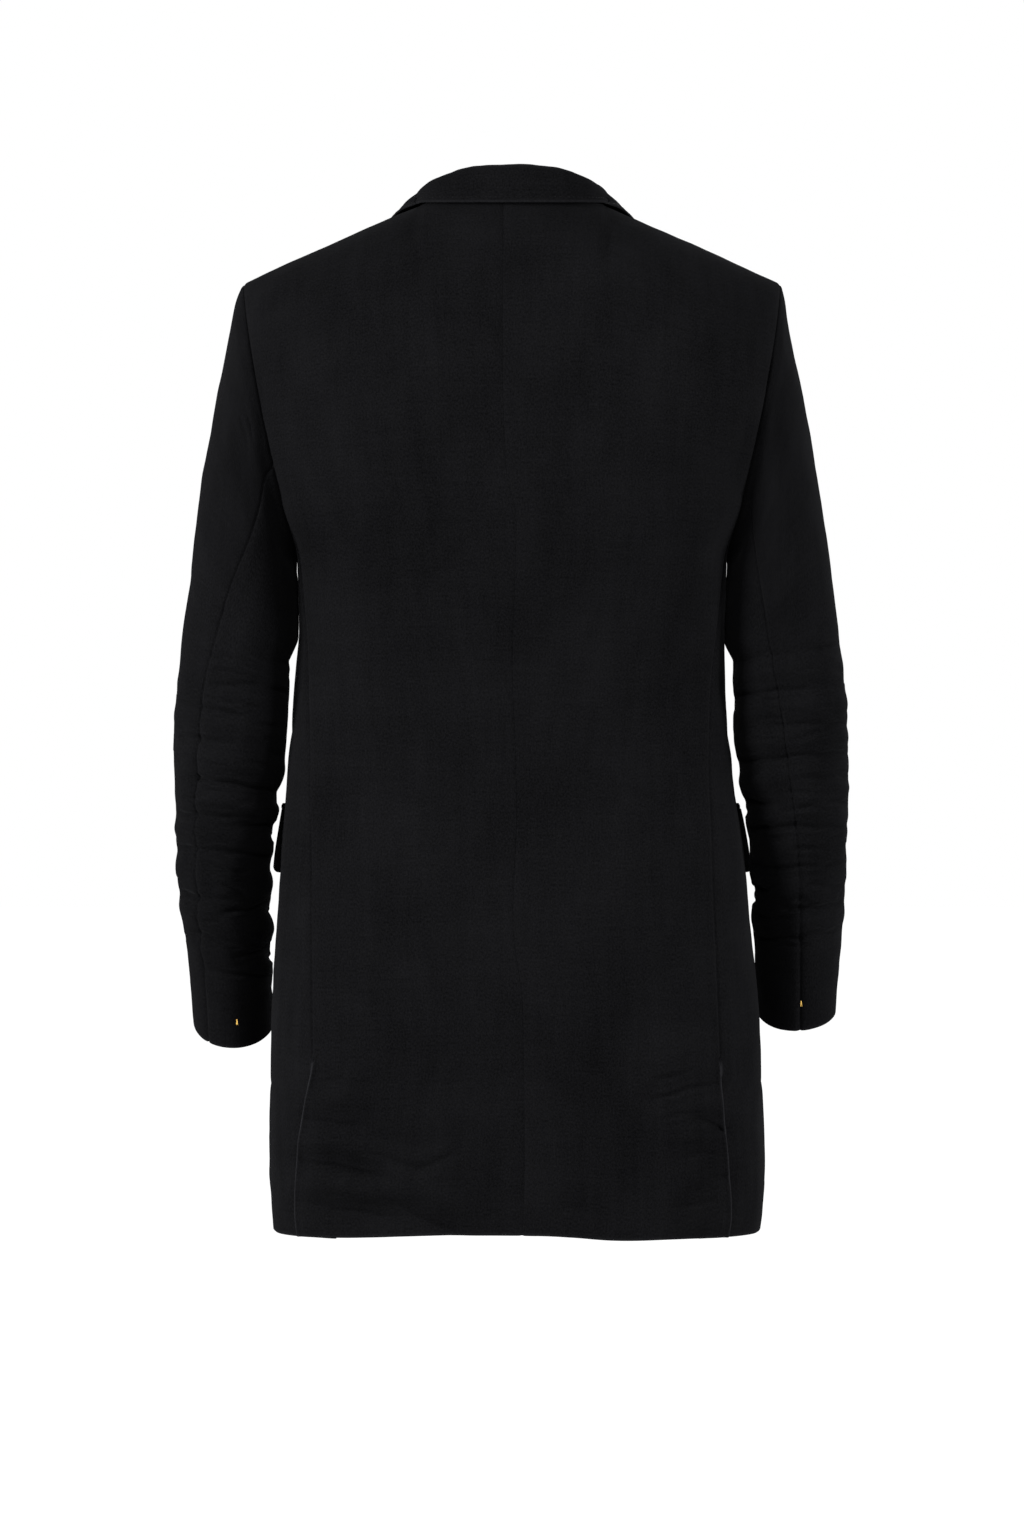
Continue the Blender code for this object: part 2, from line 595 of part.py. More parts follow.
def crumpled(side, degrees, height):
    """How far the crumples push a sleeve's cloth out. The front has like ones to the back's."""
    push = np.zeros(np.broadcast(degrees, height).shape)
    for fold in CRUMPLES[side].rows():
        start = (fold["from_angle"], fold["from_height"])
        end = (fold["to_angle"], fold["to_height"])
        push += folded(start, end, height, degrees, fold["half_width"], fold["depth"])
        mirrored = 360 - degrees
        depth = fold["depth"] * HIDDEN_CRUMPLE_SHARE
        shifted = height - HIDDEN_CRUMPLE_SHIFT
        push += folded(start, end, shifted, mirrored, fold["half_width"], depth)
    near_body = np.exp(-(((degrees - 180) / INNER_EDGE_REACH) ** 2))
    return push * (1 - (1 - INNER_EDGE_CALM) * near_body)


# ---------------------------------------------------------------- making a piece


def unit(vectors):
    return vectors / np.linalg.norm(vectors, axis=-1, keepdims=True)


def surface_normals(surface, side, across, down, limits_across, limits_down):
    """Outward normals of a surface, by small steps to either side that stay within its limits."""
    step_a = 1e-3 * (limits_across[1] - limits_across[0])
    step_d = 1e-3 * (limits_down[1] - limits_down[0])
    more_a = np.clip(across + step_a, *limits_across)
    less_a = np.clip(across - step_a, *limits_across)
    more_d = np.clip(down + step_d, *sorted(limits_down))
    less_d = np.clip(down - step_d, *sorted(limits_down))
    along = surface(side, more_a, down) - surface(side, less_a, down)
    fall = surface(side, across, more_d) - surface(side, across, less_d)
    return unit(np.cross(along, fall)) * side


def pull_in(points, edges, gap):
    """Moves the named edges of a grid of points in by gap, towards their neighbours."""
    points = points.copy()
    borders = {"top": (0, 1, 0), "bottom": (-1, -2, 0), "first": (0, 1, 1), "last": (-1, -2, 1)}
    for edge in edges:
        at, towards, axis = borders[edge]
        border = np.take(points, at, axis=axis)
        inner = np.take(points, towards, axis=axis)
        moved = border + unit(inner - border) * gap
        if axis == 0:
            points[at] = moved
        else:
            points[:, at] = moved
    return points


def mesh_piece(name, outer, inner, material):
    """A closed wall between two grids of points that have the same rows and columns."""
    rows, columns = outer.shape[:2]
    mesh = bmesh.new()
    verts = [mesh.verts.new(point * CM) for point in np.concatenate([outer, inner]).reshape(-1, 3)]

    def vert(layer, row, column):
        return verts[(layer * rows + row) * columns + column]

    for layer in (0, 1):
        for row in range(rows - 1):
            for column in range(columns - 1):
                corners = ((row, column), (row, column + 1), (row + 1, column + 1), (row + 1, column))
                mesh.faces.new([vert(layer, *corner) for corner in corners])
    # The rim's diagonals all run the same way, so that two pieces meet evenly along a seam.
    rim = [((row, column), (row + 1, column)) for row in range(rows - 1) for column in (0, columns - 1)]
    rim += [((row, column), (row, column + 1)) for row in (0, rows - 1) for column in range(columns - 1)]
    for here, there in rim:
        mesh.faces.new([vert(0, *here), vert(0, *there), vert(1, *there)])
        mesh.faces.new([vert(0, *here), vert(1, *there), vert(1, *here)])
    bmesh.ops.recalc_face_normals(mesh, faces=mesh.faces)
    data = bpy.data.meshes.new(name)
    mesh.to_mesh(data)
    mesh.free()
    data.shade_smooth()
    data.materials.append(material)
    piece = bpy.data.objects.new(name, data)
    bpy.context.scene.collection.objects.link(piece)
    return piece


def material_of(name, colour, roughness):
    """The piece's own material."""
    material = bpy.data.materials.new(name)
    material.use_nodes = True
    shader = material.node_tree.nodes["Principled BSDF"]
    shader.inputs["Base Color"].default_value = (*colour, 1.0)
    shader.inputs["Roughness"].default_value = roughness
    shader.inputs["Metallic"].default_value = 0.0
    return material


def cloth_wall(name, outer, normal):
    """A piece of wool cloth, from the points of its outer face and the way that face looks."""
    return mesh_piece(name, outer, outer - normal * WALL, material_of(name, WOOL_COLOUR, WOOL_ROUGHNESS))


# ---------------------------------------------------------------- the pieces of the body

UPPER_ROWS = 9
LOWER_ROWS_TO_VENT = 12
ROWS_BELOW_VENT = 9
BACK_COLUMNS = 9
SIDE_COLUMNS = 10
FRONT_COLUMNS = 9


def lower_rows():
    """Places of the rows from the armhole seam to the hem, closer together below the vents."""
    vent = (ARMHOLE_SEAM_HEIGHT - VENT_TOP) / (ARMHOLE_SEAM_HEIGHT - HEM_SIDE)
    long_rows = np.linspace(0, vent, LOWER_ROWS_TO_VENT, endpoint=False)
    return 1 + np.concatenate([long_rows, np.linspace(vent, 1, ROWS_BELOW_VENT + 1)])


def body_rows():
    return np.concatenate([np.linspace(0, 1, UPPER_ROWS, endpoint=False), lower_rows()])


def seam_normal(side, down, face):
    """The direction that the walls on both sides of a side seam share there."""
    panel, panel_edge = (back_surface, 1.0) if face > 0 else (front_surface, 0.0)
    body_edge = 0.0 if face > 0 else 1.0
    panel_edge = np.full(down.shape, panel_edge)
    body_edge = np.full(down.shape, body_edge)
    one = surface_normals(panel, side, panel_edge, down, (0, 1), (1, 2))
    other = surface_normals(side_surface, side, body_edge, down, (0, 1), (1, 2))
    return unit(one + other)


def make_back(name, side):
    down, across = np.meshgrid(body_rows(), np.linspace(0, 1, BACK_COLUMNS), indexing="ij")
    points = back_surface(side, across, down)
    normal = surface_normals(back_surface, side, across, down, (0, 1), (0, 2))
    normal[:, 0] = unit(normal[:, 0] * (0, 1, 1))
    rim = down[:, -1] <= 1
    normal[rim, -1] = armhole_mitre(side, down[rim, -1] * ARMHOLE_TURN, 1)
    points = pull_in(points, ["first", "top"], SEAM_GAP / 2)
    low = ~rim
    normal[low, -1] = seam_normal(side, down[low, -1], 1)
    points[low, -1] += unit(points[low, -2] - points[low, -1]) * SEAM_GAP / 2
    return cloth_wall(name, points, normal)


def make_side(name, side):
    down, across = np.meshgrid(lower_rows(), np.linspace(0, 1, SIDE_COLUMNS), indexing="ij")
    points = side_surface(side, across, down)
    normal = surface_normals(side_surface, side, across, down, (0, 1), (1, 2))
    angle = ARMHOLE_TURN + (2 * np.pi - 2 * ARMHOLE_TURN) * across[0]
    normal[:, 0] = seam_normal(side, down[:, 0], 1)
    normal[:, -1] = seam_normal(side, down[:, -1], -1)
    normal[0] = armhole_mitre(side, angle, 1)
    points = pull_in(points, ["first", "last"], SEAM_GAP / 2)
    return cloth_wall(name, points, normal)


def make_front(name, side):
    down, across = np.meshgrid(body_rows(), np.linspace(0, 1, FRONT_COLUMNS), indexing="ij")
    points = front_surface(side, across, down)
    normal = surface_normals(front_surface, side, across, down, (0, 1), (0, 2))
    rim = down[:, 0] <= 1
    normal[rim, 0] = armhole_mitre(side, down[rim, 0] * ARMHOLE_TURN, -1)
    points = pull_in(points, ["top"], SEAM_GAP / 2)
    low = ~rim
    normal[low, 0] = seam_normal(side, down[low, 0], -1)
    points[low, 0] += unit(points[low, 1] - points[low, 0]) * SEAM_GAP / 2
    return cloth_wall(name, points, normal)


# ---------------------------------------------------------------- the sleeves

SLEEVE_RINGS = 42
RINGS_TOWARDS_CUFF = 0.16
TOP_SLEEVE_COLUMNS = 10
UNDER_SLEEVE_COLUMNS = 10


def ring_heights():
    """Outer-edge heights of the rings, closer together from the elbow to the cuff."""
    share = np.linspace(0, 1, SLEEVE_RINGS)
    eased = share + RINGS_TOWARDS_CUFF * np.sin(np.pi * share)
    return SHOULDER_TIP_HEIGHT + (CUFF_HEIGHT - SHOULDER_TIP_HEIGHT) * eased


def make_sleeve_half(name, side, columns, start_seam, end_seam, turn):
    """One of the two panels of a sleeve, from one lengthwise seam round to the other."""
    heights = ring_heights()[:, None]
    start = SLEEVE_SEAMS.at(start_seam, heights)
    end = SLEEVE_SEAMS.at(end_seam, heights) + turn
    share = np.linspace(0, 1, columns)[None, :]
    angle = np.radians(start + (end - start) * share)
    down = np.broadcast_to(heights, angle.shape)
    points = sleeve_surface(side, angle, down)
    limits = (-4 * np.pi, 4 * np.pi)
    normal = surface_normals(sleeve_surface, side, angle, down, limits, (ARMHOLE_TOP[1], CUFF_HEIGHT))
    normal = -normal
    normal[0] = armhole_mitre(side, angle[0], 1)
    axis = ARMHOLE_AXIS / np.linalg.norm(ARMHOLE_AXIS)
    points[0] += np.array([side * axis[1], 0, -axis[0]]) * ARMHOLE_GAP
    points = pull_in(points, ["first", "last"], SEAM_GAP / 2)
    return cloth_wall(name, points, normal)


# ---------------------------------------------------------------- collar

COLLAR_COLUMNS = 14
COLLAR_END_DISTANCES = (6.7, 10.4, 12.9)
COLLAR_END_HEIGHTS = (GORGE_HEIGHT, -6.45, -5.0)
COLLAR_END_FROM = 0.80
FALL_ROWS = 7
STAND_ROWS = 3


def body_place(side, distance, row):
    """A point and its outward normal above the armhole seam: row is + behind and - in front."""
    down = np.abs(row)
    rim_x = armhole(down * ARMHOLE_TURN, 1)[0]
    edge_height = NECK_SIDE_HEIGHT + (ARMHOLE_SEAM_HEIGHT - NECK_SIDE_HEIGHT) * drop_share(down)
    edge_x = FRONT_EDGE.at("distance", edge_height)
    behind = (row >= 0)[..., None]
    back = distance / rim_x
    front = (rim_x - distance) / (rim_x - edge_x)
    points = np.where(behind, back_form(side, back, down), front_surface(side, front, down))
    back_normal = surface_normals(back_form, side, back, down, (0, 1), (0, 2))
    front_normal = surface_normals(front_surface, side, front, down, (-1, 2), (0, 2))
    return points, np.where(behind, back_normal, front_normal)


def front_row(distance, height):
    """The row above the armhole seam on which a front point at a distance and a height lies."""
    row = np.full(np.broadcast(distance, height).shape, 0.3)
    for _ in range(6):
        rim_x = armhole(row * ARMHOLE_TURN, 1)[0]
        edge_height = NECK_SIDE_HEIGHT + (ARMHOLE_SEAM_HEIGHT - NECK_SIDE_HEIGHT) * drop_share(row)
        across = (rim_x - distance) / (rim_x - FRONT_EDGE.at("distance", edge_height))
        top = shoulder_line(SHOULDER_HALF_WIDTH + (NECK_HALF_WIDTH - SHOULDER_HALF_WIDTH) * across)
        drop = (top - height) / (top - ARMHOLE_SEAM_HEIGHT)
        row = np.arccos(1 - drop * (1 - np.cos(ARMHOLE_TURN))) / ARMHOLE_TURN
    return row


def collar_place(side, along, share):
    """A point under the fall, share 0 at the neck seam and 1 under the outer edge."""
    neck = COLLAR.at("neck_distance", along)
    edge = COLLAR.at("edge_distance", along)
    neck_row = COLLAR.at("neck_row", along)
    edge_row = COLLAR.at("edge_row", along)
    distance = neck + (edge - neck) * share
    row = neck_row + (edge_row - neck_row) * share
    # The front end follows the gorge down to the notch and turns up to the collar's corner.
    end_height = np.interp(distance, COLLAR_END_DISTANCES, COLLAR_END_HEIGHTS)
    end = ramp(along, COLLAR_END_FROM, 1.0)
    end_row = -front_row(distance, np.where(end > 0, end_height, -2.0))
    return body_place(side, distance, row + (end_row - row) * end)


def collar_rise(side, along):
    return stack(
        side * COLLAR.at("rise_x", along), COLLAR.at("rise_y", along), COLLAR.at("rise_z", along)
    )


def away_from_neck(points):
    return unit(points * (1, 1, 0))


def fall_surface(side, share, along):
    """The turned-down leaf, from the fold, share 0, to its outer edge, share 1."""
    share, along = np.broadcast_arrays(share, along)
    base, normal = collar_place(side, along, share)
    neck = collar_place(side, along, np.zeros(share.shape))[0]
    settle = ramp(share, 0.0, 1.0) * 0.45 + share * 0.55
    # The roll is full a little way down from the fold, then lies down towards the outer edge, and
    # is flatter where the collar meets the lapel.
    fullness = np.sin(np.pi / 2 * np.minimum(share / 0.22, 1)) * (1 - 0.8 * ramp(share, 0.3, 1))
    roll = COLLAR_ROLL * fullness * (1 - 0.75 * ramp(along, 0.75, 1.0))
    points = base + collar_rise(side, along) * (1 - settle)[..., None]
    points = points + away_from_neck(neck) * roll[..., None]
    return points + normal * (COLLAR_LIFT * ramp(share, 0.1, 0.8))[..., None]


def stand_surface(side, share, along):
    """The hidden face of the stand, from the neck seam, share 0, to the fold, share 1."""
    share, along = np.broadcast_arrays(share, along)
    neck = collar_place(side, along, np.zeros(share.shape))[0]
    rise = collar_rise(side, along)
    points = neck + rise * share[..., None] + unit(rise) * SEAM_GAP
    return points - away_from_neck(neck) * STAND_INSET


def both_sides(surface, share, along):
    """A grid of points and normals across the neck: along runs from one gorge, -1, to the other, 1."""
    share, along = np.broadcast_arrays(share, along)
    left = surface(LEFT, share, np.abs(along))
    right = surface(RIGHT, share, np.abs(along))
    points = np.where((along >= 0)[..., None], left, right)
    points[np.abs(along) < 1e-9, 0] = 0
    spread = np.gradient(points, axis=1)
    fall = np.gradient(points, axis=0)
    return points, unit(np.cross(fall, spread))


def make_fall(name):
    along = np.linspace(-1, 1, 2 * COLLAR_COLUMNS + 1)[None, :]
    share = np.linspace(0, 1, FALL_ROWS)[:, None] ** 1.25
    points, normal = both_sides(fall_surface, share, along)
    return cloth_wall(name, points, -normal)


def make_stand(name):
    along = STAND_END * np.linspace(-1, 1, 2 * COLLAR_COLUMNS + 1)[None, :]
    share = np.linspace(0, 1, STAND_ROWS)[:, None]
    points, normal = both_sides(stand_surface, share, along)
    return cloth_wall(name, points, normal)


# ---------------------------------------------------------------- lapels

LAPEL_ROWS = 14
LAPEL_COLUMNS = 6


def find_on_front(side, distance, height):
    """Where on the front a point at a distance from the middle line and a height lies."""
    across = np.full(np.shape(distance), 0.7)
    down = np.full(np.shape(distance), 0.9)
    small = 1e-4
    for _ in range(30):
        here = front_surface(side, across, down)
        by_across = (front_surface(side, across + small, down) - here) / small
        by_down = (front_surface(side, across, down + small) - here) / small
        want_x = side * distance + middle_line(height) - here[..., 0]
        want_z = height - here[..., 2]
        det = by_across[..., 0] * by_down[..., 2] - by_across[..., 2] * by_down[..., 0]
        det = np.where(np.abs(det) < 1e-6, 1e-6, det)
        step_a = (want_x * by_down[..., 2] - want_z * by_down[..., 0]) / det
        step_d = (want_z * by_across[..., 0] - want_x * by_across[..., 2]) / det
        across = across + np.clip(step_a, -0.2, 0.2)
        down = np.clip(down + np.clip(step_d, -0.15, 0.15), 0.02, 2)
    return across, down


def lapel_surface(side, share, along):
    """The lapel's visible face: share 0 is the roll line, along runs from the gorge to the foot."""
    share, along = np.broadcast_arrays(share, along)
    roll_z = GORGE_HEIGHT - GORGE_GAP + (LAPEL_FOOT_HEIGHT - GORGE_HEIGHT + GORGE_GAP) * along
    roll_x = FRONT_EDGE.at("distance", roll_z)
    edge_x = LAPEL_EDGE.at("distance", along)
    edge_z = LAPEL_EDGE.at("height", along)
    distance = roll_x + (edge_x - roll_x) * share
    height = roll_z + (edge_z - roll_z) * share
    kink = np.interp(share, (0, GORGE_SHARE, 1), (0, 1, 0))
    height = height - GORGE_DROP * kink * (1 - ramp(along, 0.0, 0.15))
    across, down = find_on_front(side, distance, height)
    points = front_surface(side, across, down)
    normal = surface_normals(front_surface, side, across, down, (-1, 2), (0, 2))
    roll = LAPEL_ROLL * np.sin(np.pi * np.minimum(share / 0.7, 1)) * ramp(along, 0.82, 0.45)
    return points + normal * (LAPEL_GAP + WALL + roll)[..., None]


def make_lapel(name, side):
    along = np.linspace(0, 1, LAPEL_ROWS)[:, None]
    share = np.linspace(0, 1, LAPEL_COLUMNS)[None, :]
    points = lapel_surface(side, share, along)
    spread = np.gradient(points, axis=1)
    fall = np.gradient(points, axis=0)
    return cloth_wall(name, points, side * unit(np.cross(fall, spread)))


# ---------------------------------------------------------------- pocket flaps

FLAP_COLUMNS = 9
FLAP_ROWS = 5


def body_section(side, turn, height):
    """A point of the body below the arms, turn in radians from the middle of the back."""
    x, y = level_section(turn, height)
    return stack(side * x + middle_line(height), y, height)


def flap_surface(side, share, fall):
    """The flap's face: share 0 is its rear end, fall runs from the pocket mouth to the lower edge."""
    share, fall = np.broadcast_arrays(share, fall)
    turn = np.radians(FLAP_REAR_TURN + (FLAP_FRONT_TURN - FLAP_REAR_TURN) * share)
    corner = 1 - FLAP_CORNER / FLAP_HEIGHT * np.abs(2 * share - 1) ** 8
    height = FLAP_TOP - FLAP_HEIGHT * fall * corner
    points = body_section(side, turn, height)
    small = 1e-3
    normal = unit(
        np.cross(
            body_section(side, turn + small, height) - points,
            body_section(side, turn, height - small) - points,
        )
    )
    stand_off = FLAP_STAND_OFF * fall * (1 - 0.6 * share)
    return points + side * normal * (LAID_GAP + WALL + stand_off)[..., None]


def make_flap(name, side):
    share = np.linspace(0, 1, FLAP_COLUMNS)[None, :]
    fall = np.linspace(0, 1, FLAP_ROWS)[:, None]
    points = flap_surface(side, share, fall)
    spread = np.gradient(points, axis=1)
    down = np.gradient(points, axis=0)
    return cloth_wall(name, points, side * unit(np.cross(spread, down)))


# ---------------------------------------------------------------- buttons

BUTTON_SEGMENTS = 20


def make_button(name, height):
    """A turned disc with a raised rim, lying on the left front at the middle line."""
    across, down = find_on_front(LEFT, np.array([0.0]), np.array([height]))
    seat = front_surface(LEFT, across, down)[0]
    normal = surface_normals(front_surface, LEFT, across, down, (-1, 2), (0, 2))[0]
    profile = (
        (0.0, 0.0),
        (0.85, 0.0),
        (1.0, 0.35),
        (1.0, 0.75),
        (0.92, 1.0),
        (0.80, 1.0),
        (0.70, 0.80),
        (0.0, 0.72),
    )
    mesh = bmesh.new()
    points = [mesh.verts.new((r * BUTTON_RADIUS * CM, 0, z * BUTTON_THICKNESS * CM)) for r, z in profile]
    edges = [mesh.edges.new(pair) for pair in zip(points, points[1:])]
    bmesh.ops.spin(
        mesh, geom=points + edges, axis=(0, 0, 1), cent=(0, 0, 0), angle=2 * np.pi, steps=BUTTON_SEGMENTS
    )
    bmesh.ops.remove_doubles(mesh, verts=mesh.verts, dist=1e-6)
    bmesh.ops.recalc_face_normals(mesh, faces=mesh.faces)
    data = bpy.data.meshes.new(name)
    mesh.to_mesh(data)
    mesh.free()
    data.shade_smooth()
    data.set_sharp_from_angle(angle=np.radians(40))
    data.materials.append(material_of(name, BUTTON_COLOUR, BUTTON_ROUGHNESS))
    button = bpy.data.objects.new(name, data)
    button.location = (seat + normal * LAID_GAP) * CM
    button.rotation_euler = Vector(normal).to_track_quat("Z", "Y").to_euler()
    bpy.context.scene.collection.objects.link(button)
    return button


def clear_scene():
    for old in list(bpy.data.objects):
        bpy.data.objects.remove(old, do_unlink=True)


def main():
    clear_scene()
    bpy.context.scene.unit_settings.scale_length = 1.0
    for name, side in SIDES.items():
        make_back("back_" + name, side)
        make_side("side_" + name, side)
        make_front("front_" + name, side)
        hind = "hind_" + name
        fore = "fore_" + name
        make_sleeve_half("under_sleeve_" + name, side, UNDER_SLEEVE_COLUMNS, hind, fore, 0.0)
        make_sleeve_half("top_sleeve_" + name, side, TOP_SLEEVE_COLUMNS, fore, hind, 360.0)
        make_lapel("lapel_" + name, side)
        make_flap("pocket_flap_" + name, side)
    make_stand("collar_stand")
    make_fall("collar_fall")
    for name, height in BUTTON_HEIGHTS.items():
        make_button("button_" + name, height)


main()
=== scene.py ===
"""A longline blazer in its worn form, in soft brushed black wool, seen from behind.

The sizes are in centimetres, and each mesh turns them into metres. The front faces -Y, the wearer's
left is +X, and the origin is the middle of the neck opening.
"""

import bmesh
import bpy
import numpy as np
from mathutils import Matrix, Vector


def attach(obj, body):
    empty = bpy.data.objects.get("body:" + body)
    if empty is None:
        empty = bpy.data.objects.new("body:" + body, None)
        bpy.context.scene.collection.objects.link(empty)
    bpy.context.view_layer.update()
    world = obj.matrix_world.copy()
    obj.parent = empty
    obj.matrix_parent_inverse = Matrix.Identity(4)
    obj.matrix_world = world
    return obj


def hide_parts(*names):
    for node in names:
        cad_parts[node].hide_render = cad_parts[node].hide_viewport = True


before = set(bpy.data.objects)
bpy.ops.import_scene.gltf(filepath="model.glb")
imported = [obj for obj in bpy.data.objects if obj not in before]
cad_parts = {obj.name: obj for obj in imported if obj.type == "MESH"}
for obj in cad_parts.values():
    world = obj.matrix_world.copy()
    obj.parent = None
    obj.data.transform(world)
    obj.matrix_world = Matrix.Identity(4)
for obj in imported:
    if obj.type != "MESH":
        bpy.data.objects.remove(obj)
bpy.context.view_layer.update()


# ---------------------------------------------------------------- the two backs
# Each back is one long panel of dense black wool overcoating, from the shoulder seam to the hem. They
# are sewn to each other down the middle, pressed open, and hemmed with a 4 cm turn-up.

CM = 0.01
LEFT = 1
RIGHT = -1
SIDES = {"left": LEFT, "right": RIGHT}
SIDE_NAMES = {LEFT: "left", RIGHT: "right"}

WOOL_BLACK = (0.0006, 0.0006, 0.00065)
WOOL_BRUSHED = (0.0038, 0.0038, 0.0042)
WOOL_ROUGHNESS = (0.72, 0.92)
WOOL_SHEEN = 0.010
WOOL_SHEEN_ROUGHNESS = 0.38
WOOL_SHEEN_TINT = (0.93, 0.95, 1.0, 1.0)
# How much paler a folded edge is painted: worn nap, and a painted highlight where the edge catches the
# light.
WORN_AND_HIGHLIT_PALER = 1.6
THREADS_PER_CM = 14.0
WEAVE_SHARE = 0.22
WEAVE_STRENGTH = 0.35
WEAVE_HEIGHT = 0.0004
FIBRES = (0.05, 0.09, 1.0)
NAP_STREAK = (0.9, 7.0, 1.0)
NAP_RANGE = (0.53, 1.23)

# What the nap is made up of besides its streaks, from wide soft patches to single tufts: the size of
# the lumps in centimetres, how finely they break up, and their share.
NAP_LAYERS = (
    ((8.0, 11.0, 1.0), 1.0, 0.36),
    ((2.6, 2.6, 1.0), 3.0, 0.16),
    ((5.0, 0.45, 1.0), 3.0, 0.14),
    ((0.14, 0.20, 1.0), 2.0, 0.90),
)


def add_node(tree, kind, inputs=(), **settings):
    """A new node with its settings. Each input is given a value, or the socket that feeds it."""
    node = tree.nodes.new(kind)
    for name, value in settings.items():
        setattr(node, name, value)
    for label, value in dict(inputs).items():
        if isinstance(value, bpy.types.NodeSocket):
            tree.links.new(value, node.inputs[label])
        else:
            node.inputs[label].default_value = value
    return node


def new_group(name, inputs, output):
    """A shader node group with named inputs, as {name: default}, and one named output."""
    group = bpy.data.node_groups.new(name, "ShaderNodeTree")
    for label, default in inputs.items():
        kind = "NodeSocketVector" if default is None else "NodeSocketFloat"
        socket = group.interface.new_socket(label, in_out="INPUT", socket_type=kind)
        if default is not None:
            socket.default_value = default
    group.interface.new_socket(output, in_out="OUTPUT", socket_type="NodeSocketFloat")
    return group, group.nodes.new("NodeGroupInput").outputs


def combine(tree, operation, *values):
    """The result of a Math node that is fed by sockets or plain numbers."""
    return add_node(tree, "ShaderNodeMath", enumerate(values), operation=operation).outputs[0]


def noise_at(tree, place, size, detail, roughness=0.5):
    """Noise whose lumps have a size, in the place's own units, along each of its axes."""
    scaled = add_node(tree, "ShaderNodeVectorMath", {0: place, 1: size}, operation="DIVIDE").outputs[0]
    values = {"Vector": scaled, "Scale": 1.0, "Detail": detail, "Roughness": roughness}
    return add_node(tree, "ShaderNodeTexNoise", values).outputs["Fac"]


def spread(tree, value, start, end=(0.0, 1.0)):
    """The value, stretched from one range to another."""
    values = {"Value": value, "From Min": start[0], "From Max": start[1], "To Min": end[0], "To Max": end[1]}
    return add_node(tree, "ShaderNodeMapRange", values).outputs["Result"]


def brushed_nap_group():
    """How far the nap stands up: 0 where it lies flat and dark, 1 where it is raised and paler."""
    group, given = new_group("brushed nap", {"Place": None, "Streaks": 0.5}, "Nap")
    streaks = noise_at(group, given["Place"], NAP_STREAK, 4.0, 0.6)
    total = combine(group, "MULTIPLY", streaks, given["Streaks"])
    for size, detail, share in NAP_LAYERS:
        part = combine(group, "MULTIPLY", noise_at(group, given["Place"], size, detail, 0.6), share)
        total = combine(group, "ADD", total, part)
    add_node(group, "NodeGroupOutput", {"Nap": spread(group, total, NAP_RANGE)})
    return group


def fine_weave_group():
    """The height of the weave: threads over and under each other, blurred by the nap."""
    group, given = new_group("fine weave", {"Place": None, "Threads": THREADS_PER_CM}, "Height")
    split = add_node(group, "ShaderNodeSeparateXYZ", {0: given["Place"]}).outputs
    turns = combine(group, "MULTIPLY", given["Threads"], 2 * np.pi)
    warp = combine(group, "SINE", combine(group, "MULTIPLY", split[0], turns))
    weft = combine(group, "SINE", combine(group, "MULTIPLY", split[1], turns))
    weave = combine(group, "MULTIPLY", combine(group, "MULTIPLY", warp, weft), WEAVE_SHARE)
    fibres = noise_at(group, given["Place"], FIBRES, 3.0, 0.7)
    add_node(group, "NodeGroupOutput", {"Height": combine(group, "ADD", weave, fibres)})
    return group


BRUSHED_NAP = brushed_nap_group()
FINE_WEAVE = fine_weave_group()


def new_material(name, looks=()):
    """A material with its node tree and its shader, whose inputs are set as the looks say."""
    material = bpy.data.materials.new(name)
    material.use_nodes = True
    shader = material.node_tree.nodes["Principled BSDF"]
    for label, value in dict(looks).items():
        shader.inputs[label].default_value = value
    return material, material.node_tree, shader


def shade_between(tree, share, first, second, shader):
    """Gives the shader a colour between two others."""
    values = {0: share, 6: (*first, 1.0), 7: (*second, 1.0)}
    mixed = add_node(tree, "ShaderNodeMix", values, data_type="RGBA", clamp_factor=False)
    tree.links.new(mixed.outputs[2], shader.inputs["Base Color"])


def bump(tree, shader, height, strength, distance):
    values = {"Height": height, "Strength": strength, "Distance": distance}
    tree.links.new(add_node(tree, "ShaderNodeBump", values).outputs["Normal"], shader.inputs["Normal"])


def wool_cloth(name, streaks):
    """The wool of one kind of piece: black and matt, paler where it is brushed, and painted paler along its
    folded edges for worn nap and a painted highlight.
    """
    looks = {"Specular IOR Level": 0.0, "Sheen Weight": WOOL_SHEEN}
    looks |= {"Sheen Roughness": WOOL_SHEEN_ROUGHNESS, "Sheen Tint": WOOL_SHEEN_TINT}
    material, tree, shader = new_material(name, looks)
    place = add_node(tree, "ShaderNodeUVMap", uv_map="cloth").outputs["UV"]
    inputs = {"Place": place, "Streaks": streaks}
    nap = add_node(tree, "ShaderNodeGroup", inputs, node_tree=BRUSHED_NAP).outputs["Nap"]
    weave = add_node(tree, "ShaderNodeGroup", {"Place": place}, node_tree=FINE_WEAVE).outputs["Height"]
    # A folded edge is painted paler: partly its nap worn off, partly a painted highlight for the light the
    # edge catches.
    worn_and_highlit = add_node(tree, "ShaderNodeAttribute", attribute_name="worn_and_highlit").outputs["Fac"]
    nap_wear_and_highlight = combine(tree, "ADD", nap, combine(tree, "MULTIPLY", worn_and_highlit, WORN_AND_HIGHLIT_PALER))
    shade_between(tree, nap_wear_and_highlight, WOOL_BLACK, WOOL_BRUSHED, shader)
    tree.links.new(spread(tree, nap, (0, 1), WOOL_ROUGHNESS), shader.inputs["Roughness"])
    bump(tree, shader, weave, WEAVE_STRENGTH, WEAVE_HEIGHT)
    return material


SATIN_BLACK = (0.0022, 0.0022, 0.0026, 1.0)
SATIN_ROUGHNESS = (0.38, 0.52)
SATIN_RIPPLE = (1.6, 6.0, 1.0)
SATIN_RIPPLE_STRENGTH = 0.5
SATIN_RIPPLE_HEIGHT = 0.002


